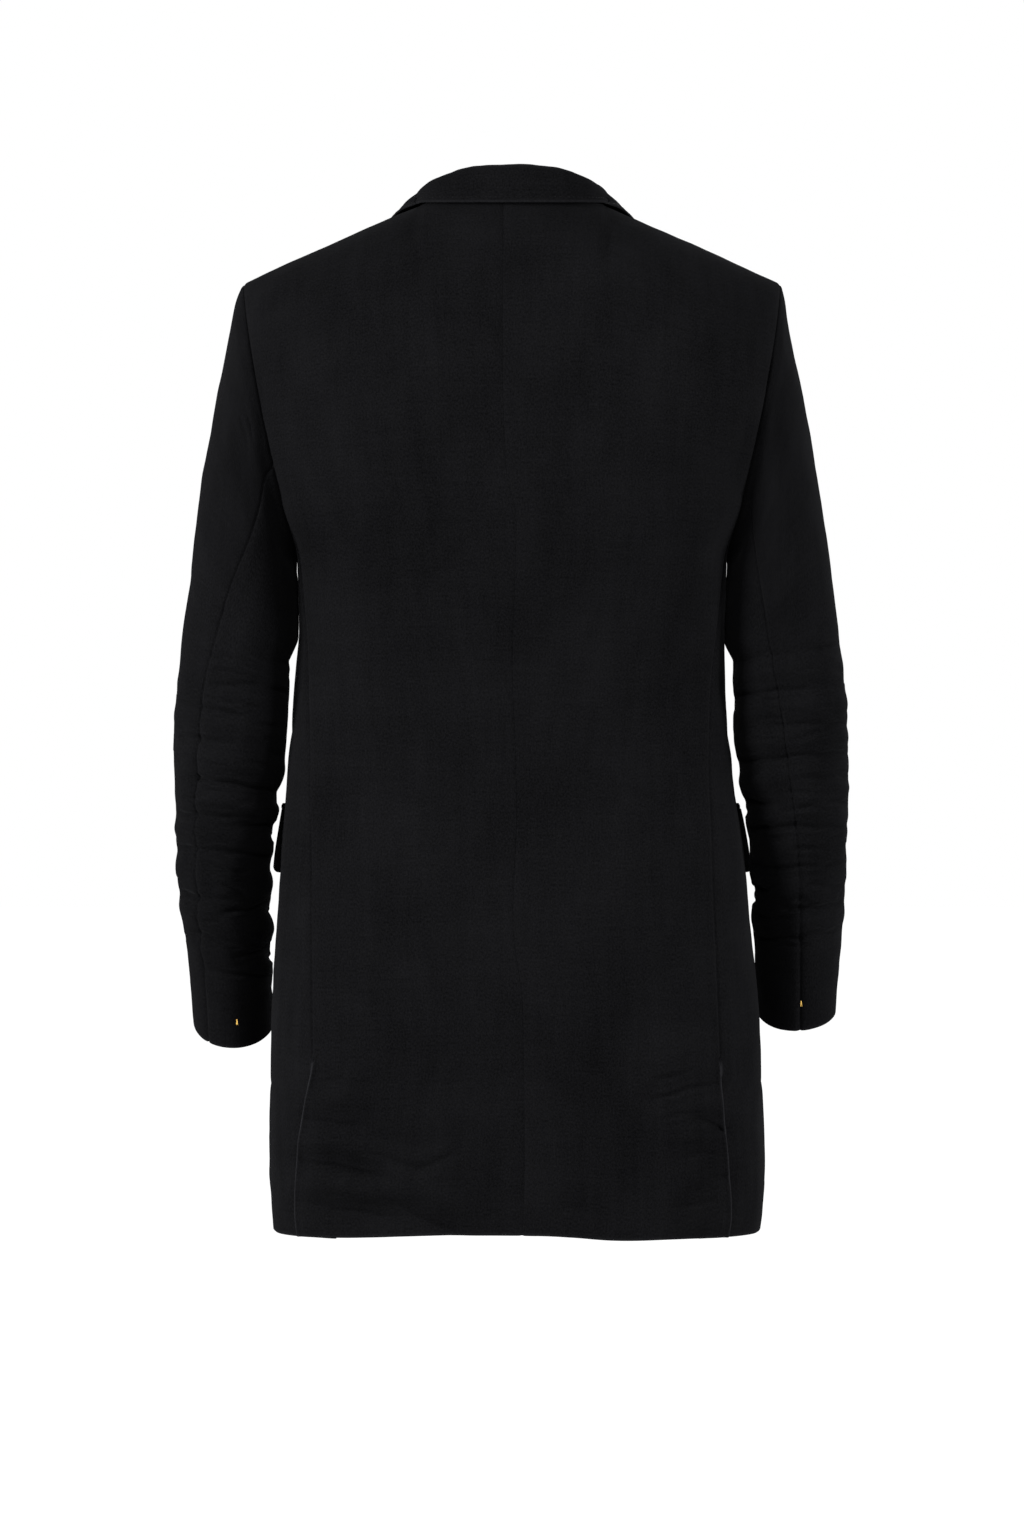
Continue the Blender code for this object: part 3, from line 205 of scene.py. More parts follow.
def satin_lining(name):
    """The plain black satin that shows inside the neck, the cuffs and the hem."""
    looks = {"Base Color": SATIN_BLACK, "Specular IOR Level": 0.10}
    material, tree, shader = new_material(name, looks)
    place = add_node(tree, "ShaderNodeUVMap", uv_map="cloth").outputs["UV"]
    ripple = noise_at(tree, place, SATIN_RIPPLE, 3.0)
    tree.links.new(spread(tree, ripple, (0, 1), SATIN_ROUGHNESS), shader.inputs["Roughness"])
    bump(tree, shader, ripple, SATIN_RIPPLE_STRENGTH, SATIN_RIPPLE_HEIGHT)
    return material


LINING = satin_lining("black satin lining")

# The wall of cloth, its seams and free edges, and how a folded edge is painted paler: its nap worn off, and
# a painted highlight where the edge catches the light.
WALL = 0.18
EDGE_TURN_IN = 0.06
PULLED_ROWS = 6
RIM_AT_SEAM = 0.3
SEAM_DIP = 0.13
SEAM_DIP_REACH = 0.16
SEAM_ALLOWANCE = 1.2
# How far in from a folded edge its painted paleness reaches, and how much of it the hem gets.
WORN_AND_HIGHLIT_REACH = 0.14
WORN_AND_HIGHLIT_HEM = 0.3
HEM_TURN_UP = 4.0
HEM_RIDGE = 0.02
HEM_RIDGE_SLOPE = 0.2
ARMHOLE_LEAN_REACH = 0.5
BOLT_STEP = 37.0

# The soft unevenness of the body's cloth, as layers of depth, size and seed, and between which
# distances from a seam it sets in.
BODY_WEAR = ((0.05, 9.0, 11), (0.012, 2.4, 12))
WEAR_REACH = (0.2, 2.5)
WAVES = 9
WAVE_SIZES = (0.7, 1.6)
WAVE_STRETCH = (1.3, 1.3, 0.8)

# A fold's line wavers, and the bottom of its section is sharp where the fold is creased. Banks stand
# on either side of it: how high, how far out and how wide, as shares of the half width.
FOLD_BEND = 0.18
CREASE_WAVER = 0.05
CREASE_HALF_WIDTH = 0.19
SOFT_BOTTOM = 2.0
CREASED_BOTTOM = 1.15
CREASE_BOTTOM = 1.6
FOLD_BANKS = (0.5, 1.9, 0.9)
CREASE_BANKS = (0.4, 2.1, 1.0)

# The neck, the shoulders, the armholes and the chest.
SQUARENESS = 2.5
NECK_HALF_WIDTH = 7.9
NECK_SIDE_HEIGHT = 0.55
NECK_BACK_HEIGHT = 0.50
SHOULDER_HALF_WIDTH = 23.1
SHOULDER_TIP_HEIGHT = -6.1
SHOULDER_SWELL = 0.8
UNDERARM_X = 18.4
UNDERARM_HEIGHT = -29.5
ARMHOLE_HALF_DEPTH = 6.8
ARMHOLE_MIDDLE_Y = -0.1
ARMHOLE_BOW = 0.4
ARMHOLE_SEAM_HEIGHT = -24.5
CHEST_HALF_WIDTH = 20.3
CHEST_SEAM = 19.67
SWELL_FOOT = ARMHOLE_SEAM_HEIGHT - 7.0

# The hem, which dips a little on the right of the back, and the rows of the crumpled foot.
HEM_BACK = -87.0
HEM_SIDE = -87.5
HEM_FRONT = -88.6
HEM_DIP_RIGHT = 0.4
HEM_DIP_DISTANCE = 8.5
HEM_DIP_HALF_WIDTH = 4.5
HEM_REACH = 18.0
HEM_TURN_BACK = (4.0, 20.0)
HEM_TURN_FRONT = (2.0, 20.0)
CRUMPLED_FROM = 0.74
CRUMPLED_TO = 1.991
HEM_ROWS = (1.994, 1.9965, 1.998, 1.9992, 2.0)
EDGE_PLACES = np.array([0.0, 0.002, 0.005, 0.009])
BACK_ROWS = (80, 100, 110)
BACK_COLUMNS = 64

# The side vents and the centre back seam.
VENT_TOP = -72.2
VENT_OPENING = (VENT_TOP + 0.5, VENT_TOP - 1.0)
VENT_LIFT = 0.46
VENT_LIFT_HEIGHTS = (-69.0, -72.3)
VENT_LIFT_ACROSS = (0.5, 0.78)
VENT_BEAD = 0.10
VENT_BEAD_MIDDLE = 0.12
VENT_BEAD_WIDTH = 0.14
VENT_HOLLOW = 0.05
VENT_HOLLOW_MIDDLE = 0.55
VENT_HOLLOW_WIDTH = 0.2
SEAM_RIDGE = {LEFT: 0.015, RIGHT: 0.04}
SEAM_RIDGE_EDGE = (1.0, 1.35)
SEAM_RIDGE_HEIGHTS = (-28.0, -34.0)
SEAM_SHIFT_REACH = 0.8


class Table:
    """Rows of sizes with named columns. The first column says where each row stands."""

    def __init__(self, names, *rows):
        self.key = names.split()[0]
        self.columns = dict(zip(names.split(), np.array(rows, float).T))

    def at(self, name, place):
        """One column's value between the rows, on a curve that never overshoots them."""
        keys = self.columns[self.key]
        values = self.columns[name]
        if keys[0] > keys[-1]:
            keys = keys[::-1]
            values = values[::-1]
        step = np.diff(keys)
        slope = np.diff(values) / step
        same_way = slope[:-1] * slope[1:] > 0
        safe_a = np.where(same_way, slope[:-1], 1.0)
        safe_b = np.where(same_way, slope[1:], 1.0)
        weight_a = 2 * step[1:] + step[:-1]
        weight_b = step[1:] + 2 * step[:-1]
        mean = (weight_a + weight_b) / (weight_a / safe_a + weight_b / safe_b)
        tangent = np.concatenate([slope[:1], np.where(same_way, mean, 0.0), slope[-1:]])
        place = np.clip(place, keys[0], keys[-1])
        cell = np.clip(np.searchsorted(keys, place) - 1, 0, len(step) - 1)
        part = (place - keys[cell]) / step[cell]
        value = values[cell] * (1 + 2 * part) * (1 - part) ** 2
        value += values[cell + 1] * part**2 * (3 - 2 * part)
        value += step[cell] * tangent[cell] * part * (1 - part) ** 2
        value -= step[cell] * tangent[cell + 1] * part**2 * (1 - part)
        return value

    def rows(self):
        """Each row as a dictionary of its named columns."""
        return [dict(zip(self.columns, row)) for row in zip(*self.columns.values())]


# The body, from the neck down: half width at the side, depth behind and in front of the middle
# plane, how far the middle line stands to the left, and the two side seams' distance from it.
BODY = Table(
    "height half_width back_depth front_depth lean back_seam front_seam",
    (1.0, CHEST_HALF_WIDTH, 7.3, 6.6, 0.0, CHEST_SEAM, CHEST_SEAM),
    (-4.0, CHEST_HALF_WIDTH, 9.3, 8.8, 0.0, CHEST_SEAM, CHEST_SEAM),
    (-9.0, CHEST_HALF_WIDTH, 10.9, 10.8, 0.0, CHEST_SEAM, CHEST_SEAM),
    (-14.5, CHEST_HALF_WIDTH, 11.8, 12.2, 0.0, CHEST_SEAM, CHEST_SEAM),
    (-20.0, CHEST_HALF_WIDTH, 12.0, 12.8, 0.0, CHEST_SEAM, CHEST_SEAM),
    (-24.5, CHEST_HALF_WIDTH, 11.8, 12.9, 0.0, CHEST_SEAM, CHEST_SEAM),
    (-30.0, 18.65, 11.1, 12.6, 0.0, 18.15, 18.1),
    (-36.0, 18.4, 10.0, 12.0, 0.05, 17.6, 17.5),
    (-42.0, 18.6, 9.1, 11.4, 0.2, 17.2, 17.2),
    (-48.0, 19.2, 9.1, 11.3, 0.2, 17.0, 17.2),
    (-54.0, 19.9, 9.9, 11.7, 0.0, 17.0, 17.5),
    (-61.0, 20.4, 10.8, 12.1, -0.1, 17.1, 17.8),
    (-69.0, 20.9, 11.3, 12.4, -0.3, 17.2, 18.0),
    (-76.0, 21.2, 11.3, 12.5, -0.4, 17.3, 18.1),
    (-82.0, 21.3, 11.1, 12.6, -0.45, 17.4, 18.1),
    (-86.0, 21.1, 10.9, 12.6, -0.45, 17.5, 18.0),
    (-89.0, 20.8, 10.7, 12.6, -0.4, 17.5, 17.9),
)

# The free edge of each back below the top of its vent, from the middle line.
VENT_EDGE = Table(
    "height left right",
    (-72.5, 17.2, 17.2),
    (-76.6, 18.1, 17.5),
    (-81.0, 18.75, 17.9),
    (-85.4, 18.95, 18.15),
    (-88.5, 18.5, 17.75),
)

# The centre back seam wavers a little to either side of the middle line.
BACK_SEAM = Table(
    "height shift",
    (1.0, 0.75),
    (-14.0, 0.85),
    (-23.0, 0.55),
    (-27.0, -0.45),
    (-37.0, -0.2),
    (-49.0, -0.75),
    (-61.0, 0.0),
    (-68.0, -0.85),
    (-80.0, -0.8),
    (-89.0, -0.45),
)

# Folds of the back, each from one end to the other: distance from the middle line, height, half
# width, depth, and the depth of the crease in its bottom. A ridge has a negative depth. The soft
# drapes under the shoulder blades come first, and then the crumpled foot.
FOLD_COLUMNS = "from_x from_height to_x to_height half_width depth crease"
FOLD_ENDS = ("from_x", "from_height", "to_x", "to_height")
BACK_FOLDS = {
    LEFT: Table(
        FOLD_COLUMNS,
        (10.0, -21.3, 10.8, -32.6, 1.5, 0.15, 0.0),
        (13.0, -19.0, 13.2, -31.0, 1.4, -0.10, 0.0),
        (7.0, -27.0, 7.1, -38.0, 1.5, -0.10, 0.0),
        (4.8, -28.1, 7.1, -31.2, 0.6, -0.06, 0.0),
        (13.8, -43.0, 14.4, -62.0, 2.0, 0.10, 0.0),
        (9.5, -52.0, 9.0, -68.0, 2.2, -0.08, 0.0),
        (14.6, -74.2, 17.2, -74.1, 0.9, 0.25, 0.10),
        (13.2, -78.2, 18.0, -77.3, 1.0, 0.34, 0.16),
        (4.6, -79.3, 12.6, -79.3, 1.3, 0.16, 0.0),
        (8.6, -81.5, 12.8, -79.9, 0.45, 0.14, 0.08),
        (8.4, -81.6, 5.2, -80.1, 0.45, 0.16, 0.10),
        (11.4, -82.3, 18.4, -81.1, 1.0, 0.50, 0.24),
        (9.0, -83.6, 17.6, -82.7, 1.0, -0.30, 0.0),
        (10.6, -85.9, 17.2, -84.6, 1.1, 0.40, 0.13),
        (5.4, -87.0, 11.6, -83.3, 1.2, 0.38, 0.10),
    ),
    RIGHT: Table(
        FOLD_COLUMNS,
        (15.7, -32.6, 15.8, -40.2, 1.1, 0.13, 0.0),
        (18.2, -10.3, 18.0, -17.6, 1.1, 0.12, 0.0),
        (9.0, -20.0, 10.0, -34.0, 1.6, 0.08, 0.0),
        (12.6, -44.0, 13.4, -64.0, 2.0, 0.10, 0.0),
        (11.8, -74.1, 15.0, -72.9, 0.8, 0.23, 0.10),
        (11.4, -75.8, 16.9, -74.3, 0.9, 0.33, 0.17),
        (12.0, -77.3, 15.2, -77.0, 0.9, 0.23, 0.08),
        (15.2, -77.3, 17.9, -78.9, 0.8, 0.35, 0.20),
        (14.2, -80.7, 17.8, -80.2, 1.0, 0.23, 0.09),
        (14.7, -83.2, 18.1, -82.3, 1.0, 0.33, 0.16),
        (13.8, -84.9, 16.8, -84.0, 0.9, 0.25, 0.10),
        (3.6, -85.0, 6.0, -84.8, 1.1, 0.16, 0.04),
    ),
}


def stack(x, y, z):
    return np.stack(np.broadcast_arrays(x, y, z), axis=-1)


def unit(vectors):
    return vectors / np.maximum(np.linalg.norm(vectors, axis=-1, keepdims=True), 1e-12)


def ramp(place, start, end):
    """0 before start and 1 past end, eased at both."""
    part = np.clip((place - start) / (end - start), 0, 1)
    return part * part * (3 - 2 * part)


def bell(place, middle, width):
    """1 at the middle, falling off to either side on a bell curve."""
    return np.exp(-(((place - middle) / width) ** 2))


def depth_share(part):
    """How deep a level section is at a share of its half width, against its middle."""
    return (1 - np.minimum(np.abs(part), 1) ** SQUARENESS) ** (1 / SQUARENESS)


def middle_line(height):
    return BODY.at("lean", height)


ARMHOLE_TOP = np.array([SHOULDER_HALF_WIDTH, SHOULDER_TIP_HEIGHT])
ARMHOLE_FOOT = np.array([UNDERARM_X, UNDERARM_HEIGHT])
ARMHOLE_MIDDLE = (ARMHOLE_TOP + ARMHOLE_FOOT) / 2
ARMHOLE_AXIS = (ARMHOLE_TOP - ARMHOLE_FOOT) / 2
ARMHOLE_TURN = np.arccos((ARMHOLE_SEAM_HEIGHT - ARMHOLE_MIDDLE[1]) / ARMHOLE_AXIS[1])


def armhole(angle, face):
    """A point of the armhole: angle 0 is the shoulder tip, pi the underarm, face 1 the back."""
    x = ARMHOLE_MIDDLE[0] + ARMHOLE_AXIS[0] * np.cos(angle) + ARMHOLE_BOW * np.sin(angle) ** 2
    z = ARMHOLE_MIDDLE[1] + ARMHOLE_AXIS[1] * np.cos(angle)
    y = ARMHOLE_MIDDLE_Y + face * ARMHOLE_HALF_DEPTH * np.sin(angle)
    return x, y, z


def armhole_lean(side, angle, face):
    """The direction, away from the armhole's middle, in which both cloths are turned in there."""
    axis = ARMHOLE_AXIS / np.linalg.norm(ARMHOLE_AXIS)
    return stack(side * axis[0] * np.cos(angle), face * np.sin(angle), axis[1] * np.cos(angle))


def shoulder_line(distance):
    """Height of the neckline and the shoulder seam at a distance from the middle."""
    fall = (NECK_SIDE_HEIGHT - SHOULDER_TIP_HEIGHT) / (SHOULDER_HALF_WIDTH - NECK_HALF_WIDTH)
    distance = np.abs(distance)
    past_neck = np.maximum(distance - NECK_HALF_WIDTH, 0)
    inside = np.clip(distance / NECK_HALF_WIDTH, 0, 1)
    neck = NECK_BACK_HEIGHT + (NECK_SIDE_HEIGHT - NECK_BACK_HEIGHT) * inside**2
    return neck - fall * past_neck


def drop_share(down):
    """How far a row above the armhole seam has come down, from 0 to 1. down runs 0 to 1 too."""
    return (1 - np.cos(down * ARMHOLE_TURN)) / (1 - np.cos(ARMHOLE_TURN))


def upper_depth(face, distance, rim_x, height, down):
    """y of a point above the armhole seam, at a distance from the middle line."""
    angle = down * ARMHOLE_TURN
    swell = np.where(angle < np.pi / 2, np.sin(np.minimum(angle, np.pi / 2)) ** SHOULDER_SWELL, 1.0)
    rim = depth_share(CHEST_SEAM / CHEST_HALF_WIDTH)
    full = depth_share(np.abs(distance) / rim_x * CHEST_SEAM / CHEST_HALF_WIDTH)
    share = swell * (full - rim) / (1 - rim)
    depth = BODY.at("back_depth" if face > 0 else "front_depth", height)
    if face > 0:
        neck = np.sqrt(np.maximum(1 - (distance / NECK_HALF_WIDTH) ** 2, 0))
        share = share + neck * (1 - swell)
    rim_y = armhole(angle, face)[1]
    return rim_y + (face * depth - rim_y) * share


def lower_depth(face, distance, height):
    """y of a point below the armhole seam, at a distance from the middle line."""
    name = "back" if face > 0 else "front"
    width = BODY.at("half_width", height)
    rim = depth_share(BODY.at(name + "_seam", height) / width)
    share = depth_share(distance / width)
    y = face * BODY.at(name + "_depth", height) * share
    # Just under the armhole seam the section still swells out to meet the armhole.
    top_rim = BODY.at(name + "_depth", ARMHOLE_SEAM_HEIGHT) * depth_share(CHEST_SEAM / CHEST_HALF_WIDTH)
    missing = armhole(ARMHOLE_TURN, face)[1] - face * top_rim
    fade = 1 - ramp(height, ARMHOLE_SEAM_HEIGHT, SWELL_FOOT)
    return y + missing * fade * (1 - np.clip((share - rim) / (1 - rim), 0, 1))


def hem_height(side, face, distance):
    """Height of the hem at a distance from the middle line, behind or in front."""
    if face > 0:
        dip = HEM_DIP_RIGHT * bell(distance, HEM_DIP_DISTANCE, HEM_DIP_HALF_WIDTH) * (side == RIGHT)
        return HEM_BACK + (HEM_SIDE - HEM_BACK) * ramp(distance, *HEM_TURN_BACK) - dip
    return HEM_FRONT + (HEM_SIDE - HEM_FRONT) * ramp(distance, *HEM_TURN_FRONT)


def row_height(down, foot):
    """Height of a row below the armhole seam: down runs from 1 there to 2 at the hem."""
    return ARMHOLE_SEAM_HEIGHT + (foot - ARMHOLE_SEAM_HEIGHT) * (down - 1)


def valley(off, half_width, bottom, bank, bank_place, bank_width):
    """The section of a valley at a distance off its line: 1 in the middle, below 0 on its banks."""
    part = np.abs(off) / half_width
    return np.exp(-(part**bottom)) - bank * bell(part, bank_place, bank_width)


def fold_push(fold, across, along, ends=FOLD_ENDS):
    """How far one fold pushes the cloth out, at places on the cloth in centimetres."""
    start_a, start_b, end_a, end_b = (fold[name] for name in ends)
    way_a = end_a - start_a
    way_b = end_b - start_b
    length = np.hypot(way_a, way_b)
    share = ((across - start_a) * way_a + (along - start_b) * way_b) / length**2
    off = ((along - start_b) * way_a - (across - start_a) * way_b) / length
    # The line of a fold bends a little, and its depth swells and fades along it.
    off = off + FOLD_BEND * fold["half_width"] * np.sin(3.1 * share + 2.0 * start_a + start_b)
    off = off + CREASE_WAVER * np.sin(1.7 * length * share + 3.0 * start_b)
    bottom = CREASED_BOTTOM if fold["crease"] > 0 else SOFT_BOTTOM
    fading = ramp(share, -0.25, 0.12) * ramp(share, 1.25, 0.88) * (1 + 0.15 * np.sin(5.3 * share + start_b))
    push = -fold["depth"] * valley(off, fold["half_width"], bottom, *FOLD_BANKS) * fading
    fading = ramp(share, -0.05, 0.2) * ramp(share, 1.05, 0.75) * (0.8 + 0.2 * np.sin(7.1 * share + start_a))
    return push - fold["crease"] * valley(off, CREASE_HALF_WIDTH, CREASE_BOTTOM, *CREASE_BANKS) * fading


def unevenness(points, size, seed):
    """The cloth's own soft unevenness, about -1 to 1, in lumps of that size."""
    rng = np.random.default_rng(seed)
    total = np.zeros(points.shape[:-1])
    for _ in range(WAVES):
        way = unit(rng.normal(size=3) * WAVE_STRETCH)
        turns = 2 * np.pi / (size * rng.uniform(*WAVE_SIZES))
        total += np.sin(points @ way * turns + rng.uniform(0, 2 * np.pi))
    return total / WAVES**0.5


def wear(points, layers):
    """How far the unevenness pushes the cloth out, over layers of depth, size and seed."""
    return sum(depth * unevenness(points, size, seed) for depth, size, seed in layers)


def back_form(side, across, down):
    """The back before its folds, with its centre seam on the middle line."""
    across, down = np.broadcast_arrays(across, down)
    upper = np.minimum(down, 1)
    rim_x, _, rim_z = armhole(upper * ARMHOLE_TURN, 1)
    top = shoulder_line(across * SHOULDER_HALF_WIDTH)
    height = top + (ARMHOLE_SEAM_HEIGHT - top) * drop_share(upper)
    height = np.where(across >= 1, rim_z, height)
    upper_y = upper_depth(1, across * rim_x, rim_x, height, upper)
    low = row_height(np.maximum(down, 1), hem_height(side, 1, across * HEM_REACH))
    vent = VENT_EDGE.at(SIDE_NAMES[side], low)
    edge = np.where(low > VENT_TOP, BODY.at("back_seam", low), vent)
    low_y = lower_depth(1, across * edge, low)
    lift = VENT_LIFT * ramp(low, *VENT_LIFT_HEIGHTS)
    low_y = low_y + lift * ramp(across, *VENT_LIFT_ACROSS)
    above = down < 1
    z = np.where(above, height, low)
    x = np.where(above, across * rim_x, across * edge)
    return stack(side * x + middle_line(z), np.where(above, upper_y, low_y), z)


def back_folds(side, distance, height):
    """How far its folds push the back out. The underlap behind the back follows them."""
    return sum(fold_push(fold, distance, height) for fold in BACK_FOLDS[side].rows())


def back_surface(side, across, down):
    """The back: across runs from the centre seam, 0, to the armhole and side seam, 1."""
    plain = back_form(side, across, down)
    shift = BACK_SEAM.at("shift", plain[..., 2]) * (1 - ramp(across, 0.0, SEAM_SHIFT_REACH))
    points = back_form(side, across + side * shift / SHOULDER_HALF_WIDTH, down)
    distance = np.abs(points[..., 0] - middle_line(points[..., 2]))
    points[..., 1] += back_folds(side, distance, points[..., 2])
    return points


def edge_first(grid, edge):
    """The same grid, seen so that one of its edges is the first row."""
    grid = grid.swapaxes(0, 1) if edge in ("first", "last") else grid
    return grid[::-1] if edge in ("bottom", "last") else grid


def from_edge(points, edge):
    """How far each point of a grid lies from one of its edges, along the cloth."""
    turned = edge_first(points, edge)
    far = np.cumsum(np.linalg.norm(np.diff(turned, axis=0, prepend=turned[:1]), axis=2), axis=0)
    far = far[::-1] if edge in ("bottom", "last") else far
    return far.T if edge in ("first", "last") else far


def along_edge(value, edge):
    """A value for each place along an edge, ready to be used over the whole grid."""
    value = np.asarray(value, float)
    if value.ndim == 0:
        return value
    return value[:, None] if edge in ("first", "last") else value[None, :]


def grid_normals(points, middle=(0.0, 0.0, 0.0)):
    """Normals of a grid of points, which look away from the middle."""
    normal = unit(np.cross(np.gradient(points, axis=1), np.gradient(points, axis=0)))
    outward = np.sum(normal * (points - middle) * (1, 1, 0))
    return normal if outward > 0 else -normal


def pull_in(points, edge, gap):
    """Moves one edge of a grid in by a gap. The rows next to it follow, less and less."""
    grid = edge_first(points, edge)
    steps = np.linalg.norm(grid[: PULLED_ROWS + 1] - grid[0], axis=-1)
    way = unit(grid[PULLED_ROWS] - grid[0])
    for row in range(PULLED_ROWS):
        grid[row] += way * (gap * (1 - steps[row] / steps[PULLED_ROWS]))[..., None]


def turn_in(grids, free, gap):
    """Moves the free edges of some grids in by a gap."""
    for edge, freeness in free.items():
        for grid in grids:
            pull_in(grid, edge, gap * np.asarray(freeness))


def from_armhole(points, edge, down):
    """How far each point lies from the armhole. Below the armhole it counts as far away."""
    return from_edge(points, edge) + 5 * ramp(down, 1.0, 1.03)


def hem_ridge(points, turn_up):
    """The faint ridge over the upper edge of a turned-up hem."""
    far = from_edge(points, "bottom")
    return HEM_RIDGE * (1 - ramp(far, turn_up - HEM_RIDGE_SLOPE, turn_up + HEM_RIDGE_SLOPE))


def rolled_rim(outer, inner, free):
    """Rings of points from a wall's outer to its inner face: full where free, flatter at a seam."""
    rows, columns = outer.shape[:2]
    ring = [(0, c) for c in range(columns)]
    ring += [(r, columns - 1) for r in range(1, rows)]
    ring += [(rows - 1, c) for c in range(columns - 2, -1, -1)]
    ring += [(r, 0) for r in range(rows - 2, 0, -1)]
    spots = np.array(ring)
    out = np.zeros((len(spots), 3))
    full = np.zeros(len(spots))
    edges = {"top": (0, 0, 1), "bottom": (0, rows - 1, -1), "first": (1, 0, 1), "last": (1, columns - 1, -1)}
    for edge, (axis, at, inward) in edges.items():
        here = spots[:, axis] == at
        row, column = spots[here].T
        step = (row + inward, column) if axis == 0 else (row, column + inward)
        out[here] += unit(outer[row, column] - outer[step])
        along = column if axis == 0 else row
        freeness = np.broadcast_to(free[edge], (columns if axis == 0 else rows,))[along]
        full[here] = np.maximum(full[here], RIM_AT_SEAM + (1 - RIM_AT_SEAM) * freeness)
    first = outer[spots[:, 0], spots[:, 1]]
    last = inner[spots[:, 0], spots[:, 1]]
    half = (first - last) / 2
    reach = unit(out) * (np.linalg.norm(half, axis=1) * full)[:, None]
    turns = np.radians((30, 60, 90, 120, 150))
    return spots, [(first + last) / 2 + half * np.cos(turn) + reach * np.sin(turn) for turn in turns]


def cloth_places(points):
    """Places on the cloth, in centimetres across and along it, that follow its surface."""
    across = from_edge(points, "first")
    along = from_edge(points, "top")
    middle = along[:, along.shape[1] // 2][:, None]
    return np.stack([across - across[:, -1:] / 2, np.broadcast_to(middle, across.shape)], axis=-1)


def new_piece(name, data):
    """An object of its own for a mesh, a light or a camera."""
    piece = bpy.data.objects.new(name, data)
    bpy.context.scene.collection.objects.link(piece)
    return piece


def cloth_shell(name, outer, inner, free, wool, lined=None, worn_and_highlit=None):
    """A wall of cloth with rolled edges between two grids of points, lined on part of its inside."""
    rows, columns = outer.shape[:2]
    spots, rings = rolled_rim(outer, inner, free)
    places = np.concatenate([outer.reshape(-1, 3), inner.reshape(-1, 3), *rings])
    index = np.arange(rows * columns).reshape(rows, columns)
    corners = (index[:-1, :-1], index[:-1, 1:], index[1:, 1:], index[1:, :-1])
    front = np.stack([corner.ravel() for corner in corners], axis=1)
    back = front[:, ::-1] + rows * columns
    on_edge = index[spots[:, 0], spots[:, 1]]
    loops = [on_edge]
    loops += [2 * rows * columns + k * len(spots) + np.arange(len(spots)) for k in range(len(rings))]
    loops += [on_edge + rows * columns]
    rim = [np.stack([b, np.roll(b, -1), np.roll(a, -1), a], axis=1) for a, b in zip(loops, loops[1:])]
    faces = np.concatenate([front, back, *rim])
    data = bpy.data.meshes.new(name)
    data.vertices.add(len(places))
    data.vertices.foreach_set("co", (places * CM).ravel())
    data.loops.add(faces.size)
    data.loops.foreach_set("vertex_index", faces.ravel())
    data.polygons.add(len(faces))
    data.polygons.foreach_set("loop_start", np.arange(len(faces)) * 4)
    data.update(calc_edges=True)
    # Every piece is cut from its own place on the bolt, so the nap isn't the same on any two.
    on_cloth = cloth_places(outer).reshape(-1, 2) + BOLT_STEP * outer.mean(axis=(0, 1))[:2]
    uv = np.concatenate([on_cloth, on_cloth, *[on_cloth[on_edge]] * len(rings)])
    layer = data.uv_layers.new(name="cloth")
    layer.data.foreach_set("uv", uv[faces.ravel()].ravel())
    # The paleness of folded edges, worn nap and painted highlight together, is kept for the wool's shader.
    paler = np.zeros(len(places))
    if worn_and_highlit is not None:
        paler[: rows * columns] = worn_and_highlit.ravel()
        paler[2 * rows * columns :] = np.tile(worn_and_highlit.ravel()[on_edge], len(rings))
    data.attributes.new("worn_and_highlit", "FLOAT", "POINT").data.foreach_set("value", paler)
    data.materials.append(wool)
    data.materials.append(LINING)
    if lined is not None:
        slots = np.zeros(len(faces), np.int32)
        slots[len(front) : len(front) + len(back)] = lined[:-1, :-1].ravel()
        data.polygons.foreach_set("material_index", slots)
    data.shade_smooth()
    mesh = bmesh.new()
    mesh.from_mesh(data)
    inside_out = mesh.calc_volume(signed=True) < 0
    mesh.free()
    if inside_out:
        data.flip_normals()
    return new_piece(name, data)


def seamed_panel(name, points, normal, free, wool, lined=None):
    """A panel of cloth. free says how free each edge is: 0 is a pressed seam, 1 a rolled edge."""
    outer = points.copy()
    worn_and_highlit = np.zeros(points.shape[:2])
    for edge, freeness in free.items():
        far = from_edge(points, edge)
        freeness = along_edge(freeness, edge)
        outer -= normal * (SEAM_DIP * (1 - freeness) * bell(far, 0, SEAM_DIP_REACH))[..., None]
        # Only an edge that is more than half free is painted paler, for worn nap and a painted highlight.
        share = np.maximum(2 * freeness - 1, 0) * (WORN_AND_HIGHLIT_HEM if edge == "bottom" else 1.0)
        worn_and_highlit = np.maximum(worn_and_highlit, share * bell(far, 0, WORN_AND_HIGHLIT_REACH))
    inner = points - normal * WALL
    turn_in((outer, inner), free, EDGE_TURN_IN)
    return cloth_shell(name, outer, inner, free, wool, lined, worn_and_highlit)


def cut_size(points, hem, allowance=SEAM_ALLOWANCE):
    """A panel's flat size and area as it was cut, with its seam allowances and its hem, in metres."""
    width = from_edge(points, "first")[:, -1].max() + 2 * allowance
    length = from_edge(points, "top")[-1].max() + allowance + hem
    one = points[1:, 1:] - points[:-1, :-1]
    other = points[1:, :-1] - points[:-1, 1:]
    finished = np.linalg.norm(np.cross(one, other), axis=-1).sum() / 2
    foot = from_edge(points, "first")[-1, -1]
    cut = finished + 2 * allowance * length + foot * (hem + allowance)
    area = min(cut / (width * length), 0.999) * width * length
    return (round(width * CM, 3), round(length * CM, 3)), round(area * CM * CM, 4)


def dress(piece, node, cut):
    """The piece rides with the blazer and stands for its plain solid."""
    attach(piece, "root")
    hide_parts(node)


def packed(count, last=0.985):
    """Places from 0 to 1, closer together near both ends, where the cloth turns in."""
    return np.concatenate([EDGE_PLACES, np.linspace(1 - last, last, count), 1 - EDGE_PLACES[::-1]])


